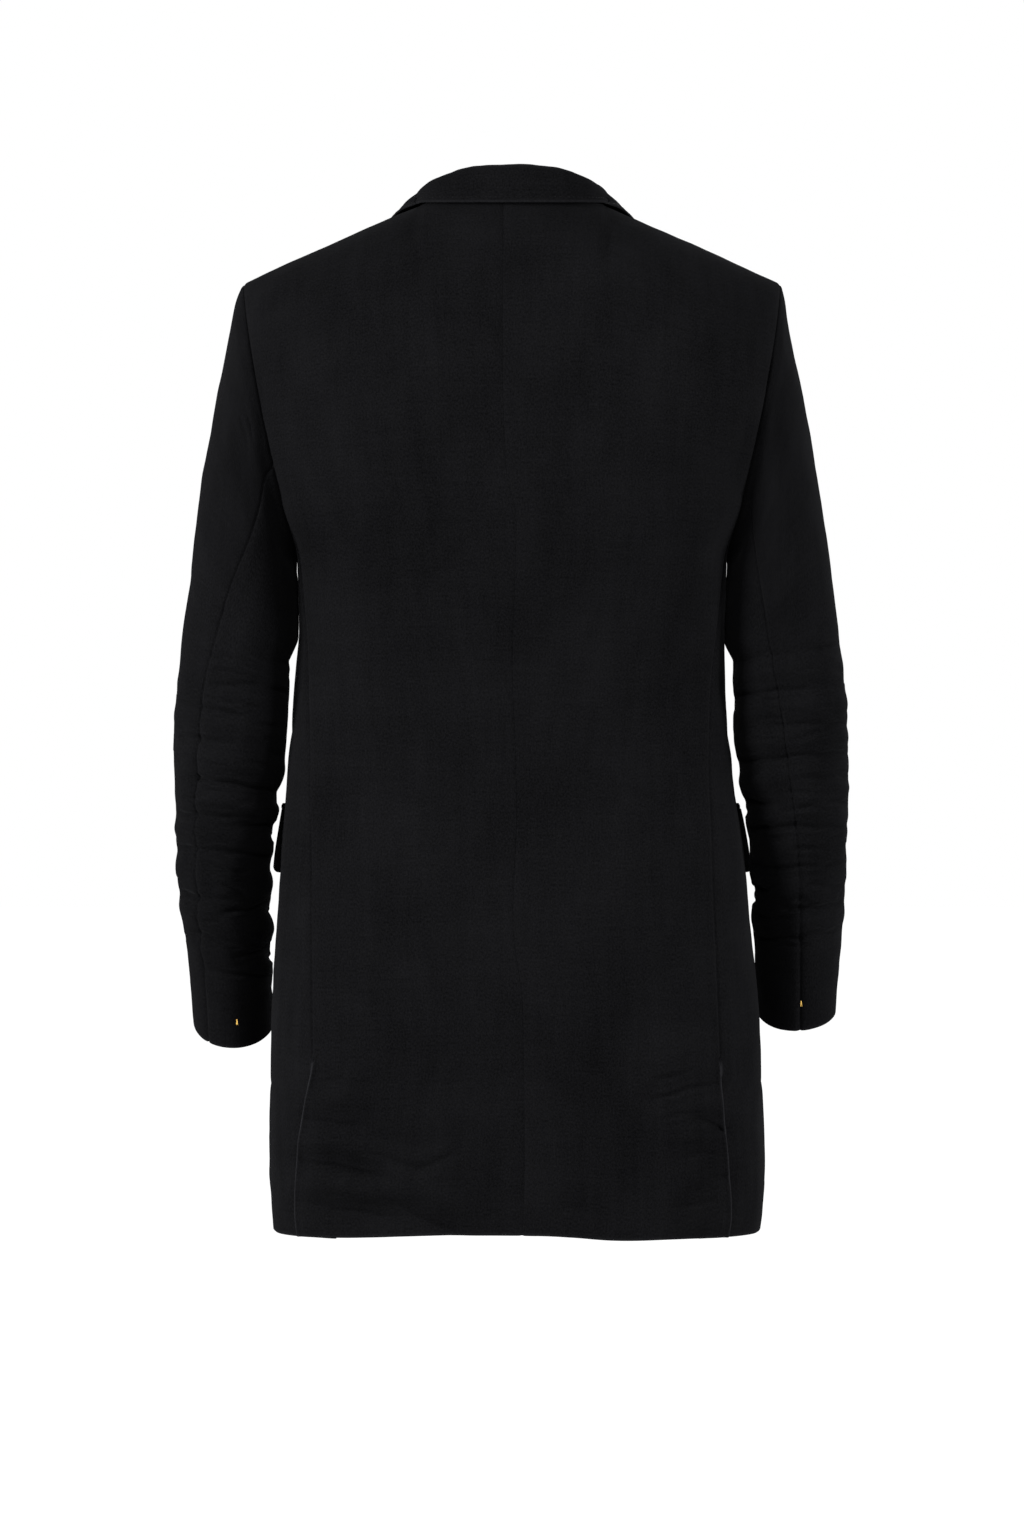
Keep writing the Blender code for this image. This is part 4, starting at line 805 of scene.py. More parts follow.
def body_rows(upper, lower, foot):
    """Places of the rows, from the shoulder, 0, past the armhole seam, 1, to the hem, 2."""
    above = np.linspace(0, 1, upper, endpoint=False)
    below = np.linspace(1, 1 + CRUMPLED_FROM, lower, endpoint=False)
    crumpled = np.linspace(1 + CRUMPLED_FROM, CRUMPLED_TO, foot)
    return np.concatenate([above, below, crumpled, HEM_ROWS])


def lean_to_armhole(normal, far, lean):
    """Normals that turn into the armhole's own direction close to it."""
    share = ramp(far, 0.0, ARMHOLE_LEAN_REACH)[..., None]
    return unit(normal * share + lean * (1 - share))


def panel_faces(points, push, far, lean, middle=(0.0, 0.0, 0.0)):
    """A panel's outer face, pushed out along its normals, and the normals of that face."""
    outer = points + grid_normals(points, middle) * push[..., None]
    return outer, lean_to_armhole(grid_normals(outer, middle), far, lean)


BACK_WOOL = wool_cloth("wool of the backs", streaks=0.22)

for name, side in SIDES.items():
    down, across = np.meshgrid(body_rows(*BACK_ROWS), packed(BACK_COLUMNS), indexing="ij")
    points = back_surface(side, across, down)
    height = points[..., 2]
    rim = from_armhole(points, "last", down)
    push = wear(points, BODY_WEAR) * ramp(rim, *WEAR_REACH)
    # The allowances of the centre seam, pressed open, show through as a faint ridge.
    allowance = ramp(height, *SEAM_RIDGE_HEIGHTS) * SEAM_RIDGE[side]
    push += allowance * (1 - ramp(from_edge(points, "first"), *SEAM_RIDGE_EDGE))
    push += hem_ridge(points, HEM_TURN_UP)
    # The vent's edge is folded over its allowance, and is a little fuller than the cloth beside it.
    vent = ramp(height[:, -1], *VENT_OPENING)
    outside = from_edge(points, "last")
    push += vent[:, None] * VENT_BEAD * bell(outside, VENT_BEAD_MIDDLE, VENT_BEAD_WIDTH)
    push -= vent[:, None] * VENT_HOLLOW * bell(outside, VENT_HOLLOW_MIDDLE, VENT_HOLLOW_WIDTH)
    lean = armhole_lean(side, np.minimum(down, 1) * ARMHOLE_TURN, 1)
    outer, normal = panel_faces(points, push, rim, lean)
    free = {"top": 0.0, "bottom": 1.0, "first": 0.5, "last": vent}
    lined = from_edge(points, "bottom") > HEM_TURN_UP
    piece = seamed_panel("wool_back_" + name, outer, normal, free, BACK_WOOL, lined)
    dress(piece, "back_" + name, cut_size(points, HEM_TURN_UP))


# ---------------------------------------------------------------- the side bodies
# A narrow panel of the same wool closes each side from the armhole to the hem. Below the vent its rear
# edge runs on behind the back as an underlap, and on top it turns into the lower armhole.

VENT_UNDERLAP = 2.2
UNDERLAP_FROM = -73.6
UNDERLAP_FULL = -76.0
SIDE_ROWS = 200
SIDE_COLUMNS = 36
LEVEL_ROWS_FROM = ARMHOLE_SEAM_HEIGHT - 14.0

# Soft folds in the side, by distance from its back seam and height. They set in between two
# distances from a seam.
FOLD_REACH = (0.3, 1.6)
SIDE_FOLDS = Table(
    FOLD_COLUMNS,
    (2.6, -58.0, 2.2, -84.0, 1.3, 0.16, 0.0),
    (5.8, -50.0, 6.2, -82.0, 1.5, 0.14, 0.0),
    (9.6, -60.0, 9.0, -86.0, 1.6, 0.16, 0.0),
    (4.0, -36.0, 7.5, -43.0, 0.9, 0.12, 0.02),
    (1.5, -41.0, 6.0, -46.0, 0.9, 0.12, 0.02),
)


def level_section(turn, height):
    """x and y of a level section below the arms, turn in radians from the middle of the back."""
    width = BODY.at("half_width", height)
    depth = np.where(turn < np.pi / 2, BODY.at("back_depth", height), BODY.at("front_depth", height))
    power = 2 / SQUARENESS
    x = width * np.sin(turn) ** power
    y = depth * np.sign(np.cos(turn)) * np.abs(np.cos(turn)) ** power
    return x, y


def side_section(height, across):
    """The level section between the two side seams, as x and y."""
    width = BODY.at("half_width", height)
    underlap = VENT_UNDERLAP * ramp(height, UNDERLAP_FROM, UNDERLAP_FULL)
    back_edge = BODY.at("back_seam", height) - underlap
    front_edge = BODY.at("front_seam", height)
    back_turn = np.arcsin(np.clip(back_edge / width, 0, 1) ** (SQUARENESS / 2))
    front_turn = np.pi - np.arcsin(np.clip(front_edge / width, 0, 1) ** (SQUARENESS / 2))
    return level_section(back_turn + (front_turn - back_turn) * across, height)


def underarm_angle(across):
    """Where a place across the side body's top stands on the armhole."""
    return ARMHOLE_TURN + (2 * np.pi - 2 * ARMHOLE_TURN) * across


def side_surface(side, across, down):
    """The side body: across runs from the back seam, 0, to the front seam, 1. down starts at 1."""
    across, down = np.broadcast_arrays(across, down)
    edge_height = row_height(down, np.full(across.shape, HEM_SIDE))
    sag = 1 - np.clip((ARMHOLE_SEAM_HEIGHT - edge_height) / (ARMHOLE_SEAM_HEIGHT - LEVEL_ROWS_FROM), 0, 1)
    angle = underarm_angle(across)
    rim_x, _, rim_z = armhole(angle, 1)
    rim_y = ARMHOLE_MIDDLE_Y + ARMHOLE_HALF_DEPTH * np.sin(angle)
    height = edge_height + (rim_z - ARMHOLE_SEAM_HEIGHT) * sag
    x, y = side_section(height, across)
    rim_section_x, rim_section_y = side_section(rim_z, across)
    fade = 1 - ramp(edge_height, ARMHOLE_SEAM_HEIGHT, SWELL_FOOT)
    x = x + (rim_x - rim_section_x) * fade
    y = y + (rim_y - rim_section_y) * fade
    y = y + back_folds(side, x, height) * ramp(y, 3.0, 5.5)
    return stack(side * x + middle_line(height), y, height)


SIDE_WOOL = wool_cloth("wool of the side bodies", streaks=0.3)

for name, side in SIDES.items():
    down, across = np.meshgrid(1 + packed(SIDE_ROWS, 0.988), packed(SIDE_COLUMNS), indexing="ij")
    points = side_surface(side, across, down)
    far = from_edge(points, "first")
    rim = from_edge(points, "top")
    push = sum(fold_push(fold, far, points[..., 2]) for fold in SIDE_FOLDS.rows())
    push = push * ramp(far, *FOLD_REACH) * ramp(from_edge(points, "last"), *FOLD_REACH)
    push += wear(points, BODY_WEAR) * ramp(rim, *WEAR_REACH) + hem_ridge(points, HEM_TURN_UP)
    outer, normal = panel_faces(points, push, rim, armhole_lean(side, underarm_angle(across), 1))
    vent = ramp(points[:, 0, 2], *VENT_OPENING)
    free = {"top": 0.0, "bottom": 1.0, "first": vent, "last": 0.0}
    lined = from_edge(points, "bottom") > HEM_TURN_UP
    piece = seamed_panel("wool_side_" + name, outer, normal, free, SIDE_WOOL, lined)
    dress(piece, "side_" + name, cut_size(points, HEM_TURN_UP))


# ---------------------------------------------------------------- the fronts
# Each front is one panel of the same wool, shaped by a dart under the chest. The left one is buttoned
# over the right one, and both are turned back along the roll line into the lapels.

OVERLAP_STEP = 0.30
OVERLAP_FROM = -24.6
OVERLAP_FULL = -31.0
OVERLAP_REACH = (2.2, 6.5)
LAPEL_ROOM = 0.32
LAPEL_ROOM_TOP = (-27.0, -32.5)
LAPEL_ROOM_FOOT = (-43.5, -48.5)
GORGE_HEIGHT = -3.9
LAPEL_FOOT_HEIGHT = -42.3
FACING_WIDTH = 9.0
ROLL_LINE_PULL = 0.12
FRONT_ROWS = (70, 100, 50)
FRONT_COLUMNS = 54

# The inner edge of each front: neckline, roll line of the lapel, closing edge and rounded foot.
FRONT_EDGE = Table(
    "height distance",
    (0.6, 7.9),
    (-1.8, 7.45),
    (-3.9, 6.7),
    (-13.5, 4.55),
    (-23.1, 2.4),
    (-32.7, 0.25),
    (-42.3, -1.9),
    (-72.0, -2.0),
    (-79.0, -1.4),
    (-84.0, 0.6),
    (-87.0, 3.3),
    (-88.6, 6.6),
)

# Soft folds of a front, by distance from the middle line and height: a little drag from the buttons,
# the drapes of the skirt and beside the armhole, and the chest dart.
FRONT_FOLDS = Table(
    FOLD_COLUMNS,
    (1.5, -45.8, 9.0, -41.0, 0.9, 0.12, 0.02),
    (2.0, -46.6, 9.5, -49.0, 0.9, 0.10, 0.02),
    (1.5, -56.4, 7.0, -53.6, 0.9, 0.08, 0.0),
    (8.0, -62.0, 8.8, -86.0, 1.8, 0.18, 0.0),
    (13.0, -60.0, 13.4, -86.0, 1.7, 0.16, 0.0),
    (4.0, -60.0, 4.6, -82.0, 1.6, 0.12, 0.0),
    (14.6, -14.0, 13.0, -24.0, 1.3, 0.14, 0.0),
    (17.2, -18.0, 16.0, -28.0, 1.1, 0.14, 0.0),
    (11.2, -27.0, 10.4, -50.4, 0.5, 0.05, 0.06),
)


def front_edge_at(row):
    """Distance of a front's inner edge from the middle line, on a row above the armhole seam."""
    height = NECK_SIDE_HEIGHT + (ARMHOLE_SEAM_HEIGHT - NECK_SIDE_HEIGHT) * drop_share(row)
    return FRONT_EDGE.at("distance", height)


def front_top(across):
    """Height of the shoulder seam above a place across a front."""
    return shoulder_line(SHOULDER_HALF_WIDTH + (NECK_HALF_WIDTH - SHOULDER_HALF_WIDTH) * across)


def front_surface(side, across, down):
    """The front: across runs from the armhole and side seam, 0, to the inner edge, 1."""
    across, down = np.broadcast_arrays(across, down)
    upper = np.minimum(down, 1)
    rim_x = armhole(upper * ARMHOLE_TURN, -1)[0]
    top = front_top(across)
    height = top + (ARMHOLE_SEAM_HEIGHT - top) * drop_share(upper)
    x = rim_x + (front_edge_at(upper) - rim_x) * across
    y = upper_depth(-1, x, rim_x, height, upper)
    low = row_height(np.maximum(down, 1), hem_height(side, -1, HEM_REACH * (1 - across)))
    seam = BODY.at("front_seam", low)
    low_x = seam + (FRONT_EDGE.at("distance", low) - seam) * across
    low_y = lower_depth(-1, low_x, low)
    if side == LEFT:
        # The left front is buttoned over the right one.
        room = LAPEL_ROOM * ramp(low, *LAPEL_ROOM_TOP) * (1 - ramp(low, *LAPEL_ROOM_FOOT))
        step = (OVERLAP_STEP + room) * ramp(low, OVERLAP_FROM, OVERLAP_FULL)
        low_y = low_y - step * (1 - ramp(low_x, *OVERLAP_REACH))
    above = down < 1
    z = np.where(above, height, low)
    return stack(side * np.where(above, x, low_x) + middle_line(z), np.where(above, y, low_y), z)


FRONT_WOOL = wool_cloth("wool of the fronts", streaks=0.22)

for name, side in SIDES.items():
    down, across = np.meshgrid(body_rows(*FRONT_ROWS), packed(FRONT_COLUMNS), indexing="ij")
    points = front_surface(side, across, down)
    height = points[..., 2]
    distance = side * (points[..., 0] - middle_line(height))
    closing = from_edge(points, "last")
    rim = from_armhole(points, "first", down)
    push = sum(fold_push(fold, distance, height) for fold in FRONT_FOLDS.rows())
    push = push * ramp(from_edge(points, "first"), *FOLD_REACH)
    push = (push + wear(points, BODY_WEAR) * ramp(rim, *WEAR_REACH)) * ramp(closing, *WEAR_REACH)
    push += hem_ridge(points, HEM_TURN_UP)
    lean = armhole_lean(side, np.minimum(down, 1) * ARMHOLE_TURN, -1)
    outer, normal = panel_faces(points, push, rim, lean)
    # Along the roll line the edge stays a little short, inside the turn of the lapel.
    edge_height = height[:, -1]
    rolled = ramp(edge_height, GORGE_HEIGHT + 1, GORGE_HEIGHT)
    above_foot = ramp(edge_height, LAPEL_FOOT_HEIGHT - 1.5, LAPEL_FOOT_HEIGHT + 1.5)
    pull_in(outer, "last", ROLL_LINE_PULL * rolled * above_foot)
    free = {"top": 0.0, "bottom": 1.0, "first": 0.0, "last": rolled}
    lined = (from_edge(points, "bottom") > HEM_TURN_UP) & (closing > FACING_WIDTH)
    piece = seamed_panel("wool_front_" + name, outer, normal, free, FRONT_WOOL, lined)
    dress(piece, "front_" + name, cut_size(points, HEM_TURN_UP))


# ---------------------------------------------------------------- the sleeves
# Two panels of the wool, a top and an under sleeve, are sewn into a bent tube and set into the armhole
# over a little wadding. From the elbow down the cloth is pushed up into crumples. The cuff is plain.

CUFF_HEIGHT = -69.9
SLEEVE_FALL = CUFF_HEIGHT - SHOULDER_TIP_HEIGHT
ELBOW_HEIGHT = -45.0
BOW_FOOT = -16.0
RIGHT_CUFF_RAISED = 1.1
RIGHT_REAR_DROP = 0.8
HIDDEN_CRUMPLE_SHARE = 0.8
HIDDEN_CRUMPLE_SHIFT = -1.1
INNER_SWELL = Table("height out", (-29.0, 0.0), (-31.0, 0.60), (-36.5, 0.84), (-38.5, 0.0))
INNER_SWELL_REACH = 42.0
CM_PER_DEGREE = 0.09
CRUMPLE_SHARE = 0.8
CRUMPLE_CREASE = 0.12
CRUMPLE_CREASE_SHARE = 0.35
CRUMPLED_ROWS = (-36.0, -66.0)
EVEN_COUNT = 66
CRUMPLED_COUNT = 290
PLAIN_COUNT = 16
SLEEVE_COLUMNS = 40
FINE_CREASES = 40
FINE_SEED = 60
FINE_TOP = -37.5
FINE_DROP = 26.0
FINE_STARTS = (5, 140)
FINE_LENGTHS = (14, 45)
FINE_FALL = (-0.2, 0.45)
FINE_DEPTHS = (0.02, 0.06)
CUFF_TURN_UP = 4.0
SLEEVE_HEAD_ROLL = 0.12
SLEEVE_HEAD_REACH = 1.3
SLEEVE_WEAR = ((0.04, 6.0, 21), (0.012, 1.8, 22))
SLEEVE_WEAR_REACH = (0.3, 3.0)

# Each sleeve, by the height of its outer edge: outer and inner edge seen from behind, the inner
# edge's own height, half its depth, where its middle lies, and how far its rear hangs lower.
SLEEVE = Table(
    "height out_left out_right in_left in_right in_height half_depth middle_y rear_drop",
    (-6.1, 23.1, 23.1, 18.4, 18.4, -29.5, 6.8, -0.1, 0.0),
    (-8.2, 23.85, 23.5, 18.95, 18.95, -30.2, 6.9, -0.1, 0.0),
    (-11.8, 24.6, 24.2, 19.15, 19.1, -31.1, 7.0, -0.2, 0.0),
    (-16.0, 25.5, 25.15, 19.15, 19.1, -32.2, 7.0, -0.3, 0.0),
    (-20.4, 26.3, 25.95, 19.2, 19.1, -33.6, 7.0, -0.4, 0.0),
    (-24.7, 27.0, 26.65, 19.2, 19.1, -35.2, 6.9, -0.45, 0.1),
    (-29.0, 27.5, 27.3, 19.2, 19.1, -37.0, 6.8, -0.5, 0.2),
    (-33.4, 28.0, 27.85, 19.2, 19.1, -39.0, 6.6, -0.55, 0.35),
    (-37.7, 28.6, 28.4, 19.25, 19.1, -41.3, 6.4, -0.6, 0.5),
    (-42.0, 29.0, 28.9, 19.35, 19.2, -44.2, 6.2, -0.8, 0.75),
    (-46.3, 29.2, 29.05, 19.7, 19.5, -47.6, 6.1, -1.3, 1.0),
    (-50.6, 29.2, 29.1, 20.35, 20.1, -51.4, 6.0, -2.0, 1.25),
    (-55.0, 29.1, 29.05, 20.85, 20.7, -55.5, 5.9, -3.0, 1.5),
    (-59.2, 28.9, 28.95, 20.95, 20.9, -59.6, 5.7, -3.9, 1.65),
    (-63.5, 28.3, 28.75, 20.95, 21.1, -63.9, 5.5, -4.9, 1.8),
    (-69.9, 27.85, 28.3, 21.0, 21.5, -70.3, 5.2, -6.4, 1.9),
)

# Where the two sleeve seams run, in degrees round from the outer edge by way of the back.
SLEEVE_SEAMS = Table(
    "height hind_left hind_right fore_left fore_right",
    (-6.1, 112.0, 125.0, 245.0, 240.0),
    (-20.0, 100.0, 120.0, 245.0, 240.0),
    (-32.0, 75.0, 112.0, 245.0, 240.0),
    (-42.0, 60.0, 102.0, 242.0, 240.0),
    (-52.0, 58.0, 95.0, 238.0, 240.0),
    (-70.0, 56.0, 90.0, 236.0, 240.0),
)

# Crumples in the sleeves, each from one end to the other: degrees round from the outer edge by way
# of the back, height, half width and depth.
CRUMPLE_COLUMNS = "from_angle from_height to_angle to_height half_width depth"
CRUMPLE_ENDS = ("from_across", "from_height", "to_across", "to_height")
CRUMPLES = {
    LEFT: Table(
        CRUMPLE_COLUMNS,
        (65, -40.8, 125, -40.8, 0.7, 0.20),
        (15, -41.9, 107, -43.3, 0.7, 0.22),
        (15, -44.7, 90, -45.8, 0.7, 0.20),
        (57, -48.8, 184, -49.7, 0.9, 0.45),
        (15, -51.4, 112, -52.3, 0.8, 0.25),
        (109, -52.8, 191, -52.6, 0.8, 0.45),
        (10, -54.6, 176, -55.4, 0.8, 0.30),
        (5, -58.4, 100, -59.0, 0.8, 0.40),
        (90, -60.2, 181, -59.2, 0.8, 0.45),
        (50, -62.0, 105, -63.0, 0.8, 0.28),
        (105, -64.2, 193, -62.9, 0.8, 0.40),
        (50, -65.0, 181, -66.0, 0.8, 0.18),
        (64, -17.0, 66, -24.0, 0.8, -0.10),
        (18, -30.7, 64, -35.3, 0.7, -0.12),
        (50, -33.8, 84, -34.6, 0.45, 0.08),
        (70, -20.0, 108, -17.0, 0.8, 0.10),
    ),
    RIGHT: Table(
        CRUMPLE_COLUMNS,
        (20, -37.4, 156, -38.6, 0.8, 0.18),
        (20, -40.4, 181, -41.8, 0.8, 0.25),
        (8, -43.7, 125, -44.4, 0.8, 0.28),
        (8, -46.4, 171, -47.1, 0.8, 0.35),
        (10, -48.4, 85, -48.6, 0.7, 0.22),
        (120, -50.8, 191, -50.6, 0.8, 0.42),
        (10, -50.6, 62, -50.8, 0.7, 0.30),
        (20, -52.6, 166, -53.1, 0.8, 0.30),
        (10, -54.6, 95, -54.8, 0.7, 0.25),
        (25, -56.2, 156, -56.3, 0.7, 0.25),
        (135, -58.4, 193, -58.2, 0.8, 0.40),
        (15, -57.8, 80, -58.0, 0.7, 0.38),
        (15, -59.2, 115, -60.0, 0.8, 0.40),
        (25, -61.8, 166, -62.6, 0.8, 0.22),
        (50, -12.9, 133, -18.4, 0.8, -0.10),
        (95, -15.0, 128, -18.0, 0.7, 0.10),
    ),
}


def fine_creases(side):
    """Short hairline creases between the crumples, as rows like theirs."""
    rng = np.random.default_rng(FINE_SEED + side)
    folds = []
    for place in range(FINE_CREASES):
        start = rng.uniform(*FINE_STARTS)
        height = FINE_TOP - FINE_DROP * (place + rng.uniform(0, 1)) / FINE_CREASES
        end = start + rng.uniform(*FINE_LENGTHS)
        fold = {"from_angle": start, "to_angle": end, "from_height": height}
        fold["to_height"] = height + rng.normal(*FINE_FALL)
        folds.append(fold | {"half_width": 0.4, "depth": rng.uniform(*FINE_DEPTHS), "crease": 0.0})
    return folds


def sleeve_push(side, degrees, height):
    """How far the crumples push a sleeve's cloth out. The front has like ones to the back's."""
    push = np.zeros(np.broadcast(degrees, height).shape)
    for fold in [row | {"crease": 0.0} for row in CRUMPLES[side].rows()] + fine_creases(side):
        fold["from_across"] = fold["from_angle"] * CM_PER_DEGREE
        fold["to_across"] = fold["to_angle"] * CM_PER_DEGREE
        if fold["depth"] > 0:
            fold["crease"] = CRUMPLE_CREASE + CRUMPLE_CREASE_SHARE * fold["depth"]
            fold["depth"] *= CRUMPLE_SHARE
        push += fold_push(fold, degrees * CM_PER_DEGREE, height, CRUMPLE_ENDS)
        shifted = height - HIDDEN_CRUMPLE_SHIFT
        mirrored = (360 - degrees) * CM_PER_DEGREE
        push += HIDDEN_CRUMPLE_SHARE * fold_push(fold, mirrored, shifted, CRUMPLE_ENDS)
    # Above the crumples the sleeve swells against the body.
    return push + INNER_SWELL.at("out", height) * bell(degrees, 180, INNER_SWELL_REACH)


def sleeve_surface(side, angle, height):
    """A sleeve: angle runs round from its outer edge by way of the back, height is the outer edge's."""
    angle, height = np.broadcast_arrays(angle, height)
    name = SIDE_NAMES[side]
    out_x = SLEEVE.at("out_" + name, height)
    in_x = SLEEVE.at("in_" + name, height)
    in_z = SLEEVE.at("in_height", height)
    low_share = ramp(height, ELBOW_HEIGHT, CUFF_HEIGHT)
    drop = SLEEVE.at("rear_drop", height) * np.where(side == RIGHT, RIGHT_REAR_DROP, 1.0)
    lifted = RIGHT_CUFF_RAISED * low_share * (side == RIGHT)
    bow = ARMHOLE_BOW * (1 - ramp(height, SHOULDER_TIP_HEIGHT, BOW_FOOT))
    x = (out_x + in_x) / 2 + (out_x - in_x) / 2 * np.cos(angle) + bow * np.sin(angle) ** 2
    z = (height + in_z) / 2 + (height - in_z) / 2 * np.cos(angle) - drop * np.sin(angle) + lifted
    y = SLEEVE.at("middle_y", height) + SLEEVE.at("half_depth", height) * np.sin(angle)
    push = sleeve_push(side, np.degrees(angle) % 360, z)
    return stack(side * (x + push * np.cos(angle)), y + push * np.sin(angle), z)


SLEEVE_WOOL = wool_cloth("wool of the sleeves", streaks=0.16)

for name, side in SIDES.items():
    head_rows = SHOULDER_TIP_HEIGHT + SLEEVE_FALL * EDGE_PLACES
    cuff_rows = SHOULDER_TIP_HEIGHT + SLEEVE_FALL * (1 - EDGE_PLACES[::-1])
    even = np.linspace(head_rows[-1] - 0.4, CRUMPLED_ROWS[0], EVEN_COUNT, endpoint=False)
    crumpled = np.linspace(*CRUMPLED_ROWS, CRUMPLED_COUNT, endpoint=False)
    plain = np.linspace(CRUMPLED_ROWS[1], cuff_rows[0] + 0.3, PLAIN_COUNT)
    heights = np.concatenate([head_rows, even, crumpled, plain, cuff_rows])[:, None]
    hind = SLEEVE_SEAMS.at("hind_" + name, heights)
    fore = SLEEVE_SEAMS.at("fore_" + name, heights)
    middle_x = side * (SLEEVE.at("out_" + name, heights) + SLEEVE.at("in_" + name, heights)) / 2
    middle = stack(middle_x, SLEEVE.at("middle_y", heights), heights)
    for panel, start, end in (("under_sleeve_", hind, fore), ("top_sleeve_", fore, hind + 360)):
        angle = np.radians(start + (end - start) * packed(SLEEVE_COLUMNS)[None, :])
        points = sleeve_surface(side, angle, heights)
        head = from_edge(points, "top")
        cuff = from_edge(points, "bottom")
        push = wear(points, SLEEVE_WEAR) * ramp(head, *SLEEVE_WEAR_REACH)
        # The wadding rolls the sleeve's head up along the upper armhole.
        roll = SLEEVE_HEAD_ROLL * np.clip(np.cos(angle) + 0.5, 0, 1)
        push += roll * bell(head, SLEEVE_HEAD_REACH, SLEEVE_HEAD_REACH) + hem_ridge(points, CUFF_TURN_UP)
        outer, normal = panel_faces(points, push, head, armhole_lean(side, angle, 1), middle)
        free = {"top": 0.0, "bottom": 1.0, "first": 0.0, "last": 0.0}
        piece = seamed_panel("wool_" + panel + name, outer, normal, free, SLEEVE_WOOL, cuff > CUFF_TURN_UP)
        dress(piece, panel + name, cut_size(points, CUFF_TURN_UP))


# ---------------------------------------------------------------- the collar
# The collar is a turned-down leaf over a stand. Its cloth rolls over the stand's top and is sewn to it
# on the inside, and its ends meet the lapels at the notches.

COLLAR_ROLL = 0.5
ROLL_FULL_AT = 0.22
LEAF_EASE = 0.45
COLLAR_LIFT = 0.40
COLLAR_END_DISTANCES = (6.7, 10.4, 12.9)
COLLAR_END_HEIGHTS = (GORGE_HEIGHT, -6.45, -5.0)
COLLAR_END_FROM = 0.80
STAND_INSET = 0.18
STAND_END = 0.76
STAND_TOP = 0.70
STAND_LAP = 0.14
ROLL_DEPTH = 0.37
ROLL_HEIGHT = 0.30
SMALL_ALLOWANCE = 0.6
TRIMMED_ALLOWANCE = 0.25
COLLAR_SOFT_WEAR = ((0.03, 3.2, 31),)
COLLAR_FINE_WEAR = ((0.01, 1.2, 32),)
COLLAR_PRESSED = 0.05
PRESSED_PLACE = (0.55, 0.2)

# The collar on one side, from the middle of the back, 0, to the gorge, 1. A place on the body is a
# distance from the middle line and a row above the armhole seam, behind (+) or in front (-): the
# neck seam and the outer edge. The rise goes from the neck seam to the fold.
COLLAR = Table(
    "along neck_distance neck_row edge_distance edge_row rise_x rise_y rise_z",
    (-0.20, -3.4, 0.0, -3.9, 0.13, 0.1, -0.75, 2.75),
    (0.00, 0.0, 0.0, 0.0, 0.13, 0.0, -0.8, 2.9),
    (0.20, 3.4, 0.0, 3.9, 0.13, -0.1, -0.75, 2.75),
    (0.38, 6.0, 0.0, 6.5, 0.12, -0.35, -0.5, 2.3),
    (0.50, 7.3, 0.0, 8.5, 0.08, -0.6, -0.1, 1.8),
    (0.60, 7.9, 0.0, 9.8, 0.0, -0.65, 0.15, 1.35),
    (0.72, 7.85, -0.13, 11.1, -0.12, -0.5, 0.2, 1.0),
    (0.86, 7.46, -0.25, 12.3, -0.22, -0.2, 0.1, 0.65),
    (1.00, 6.7, -0.351, 12.9, -0.318, 0.1, -0.15, 0.4),
)


def surface_normals(surface, side, across, down, limits_across, limits_down):
    """Outward normals of a surface, by small steps to either side that stay within its limits."""
    step = 1e-3
    more_a = np.clip(across + step, *limits_across)
    less_a = np.clip(across - step, *limits_across)
    more_d = np.clip(down + step, *limits_down)
    less_d = np.clip(down - step, *limits_down)
    along = surface(side, more_a, down) - surface(side, less_a, down)
    fall = surface(side, across, more_d) - surface(side, across, less_d)
    return unit(np.cross(along, fall)) * side


def body_place(side, distance, row):
    """A point and its outward normal above the armhole seam: row is + behind and - in front."""
    down = np.abs(row)
    rim_x = armhole(down * ARMHOLE_TURN, 1)[0]
    edge_x = front_edge_at(down)
    behind = (row >= 0)[..., None]
    back = distance / rim_x
    front = (rim_x - distance) / (rim_x - edge_x)
    points = np.where(behind, back_form(side, back, down), front_surface(side, front, down))
    back_normal = surface_normals(back_form, side, back, down, (0, 1), (0, 2))
    front_normal = surface_normals(front_surface, side, front, down, (-1, 2), (0, 2))
    return points, np.where(behind, back_normal, front_normal)


def front_row(distance, height):
    """The row above the armhole seam on which a front point at a distance and a height lies."""
    row = np.full(np.broadcast(distance, height).shape, 0.3)
    for _ in range(6):
        rim_x = armhole(row * ARMHOLE_TURN, 1)[0]
        across = (rim_x - distance) / (rim_x - front_edge_at(row))
        top = front_top(across)
        drop = (top - height) / (top - ARMHOLE_SEAM_HEIGHT)
        row = np.arccos(1 - drop * (1 - np.cos(ARMHOLE_TURN))) / ARMHOLE_TURN
    return row


def collar_place(side, along, share):
    """A point under the fall, share 0 at the neck seam and 1 under the outer edge."""
    neck = COLLAR.at("neck_distance", along)
    edge = COLLAR.at("edge_distance", along)
    neck_row = COLLAR.at("neck_row", along)
    edge_row = COLLAR.at("edge_row", along)
    distance = neck + (edge - neck) * share
    row = neck_row + (edge_row - neck_row) * share
    # The front end follows the gorge down to the notch and turns up to the collar's corner.
    end_height = np.interp(distance, COLLAR_END_DISTANCES, COLLAR_END_HEIGHTS)
    end = ramp(along, COLLAR_END_FROM, 1.0)
    end_row = -front_row(distance, np.where(end > 0, end_height, -2.0))
    return body_place(side, distance, row + (end_row - row) * end)


def collar_rise(side, along):
    return stack(side * COLLAR.at("rise_x", along), COLLAR.at("rise_y", along), COLLAR.at("rise_z", along))


def away_from_neck(points):
    return unit(points * (1, 1, 0))


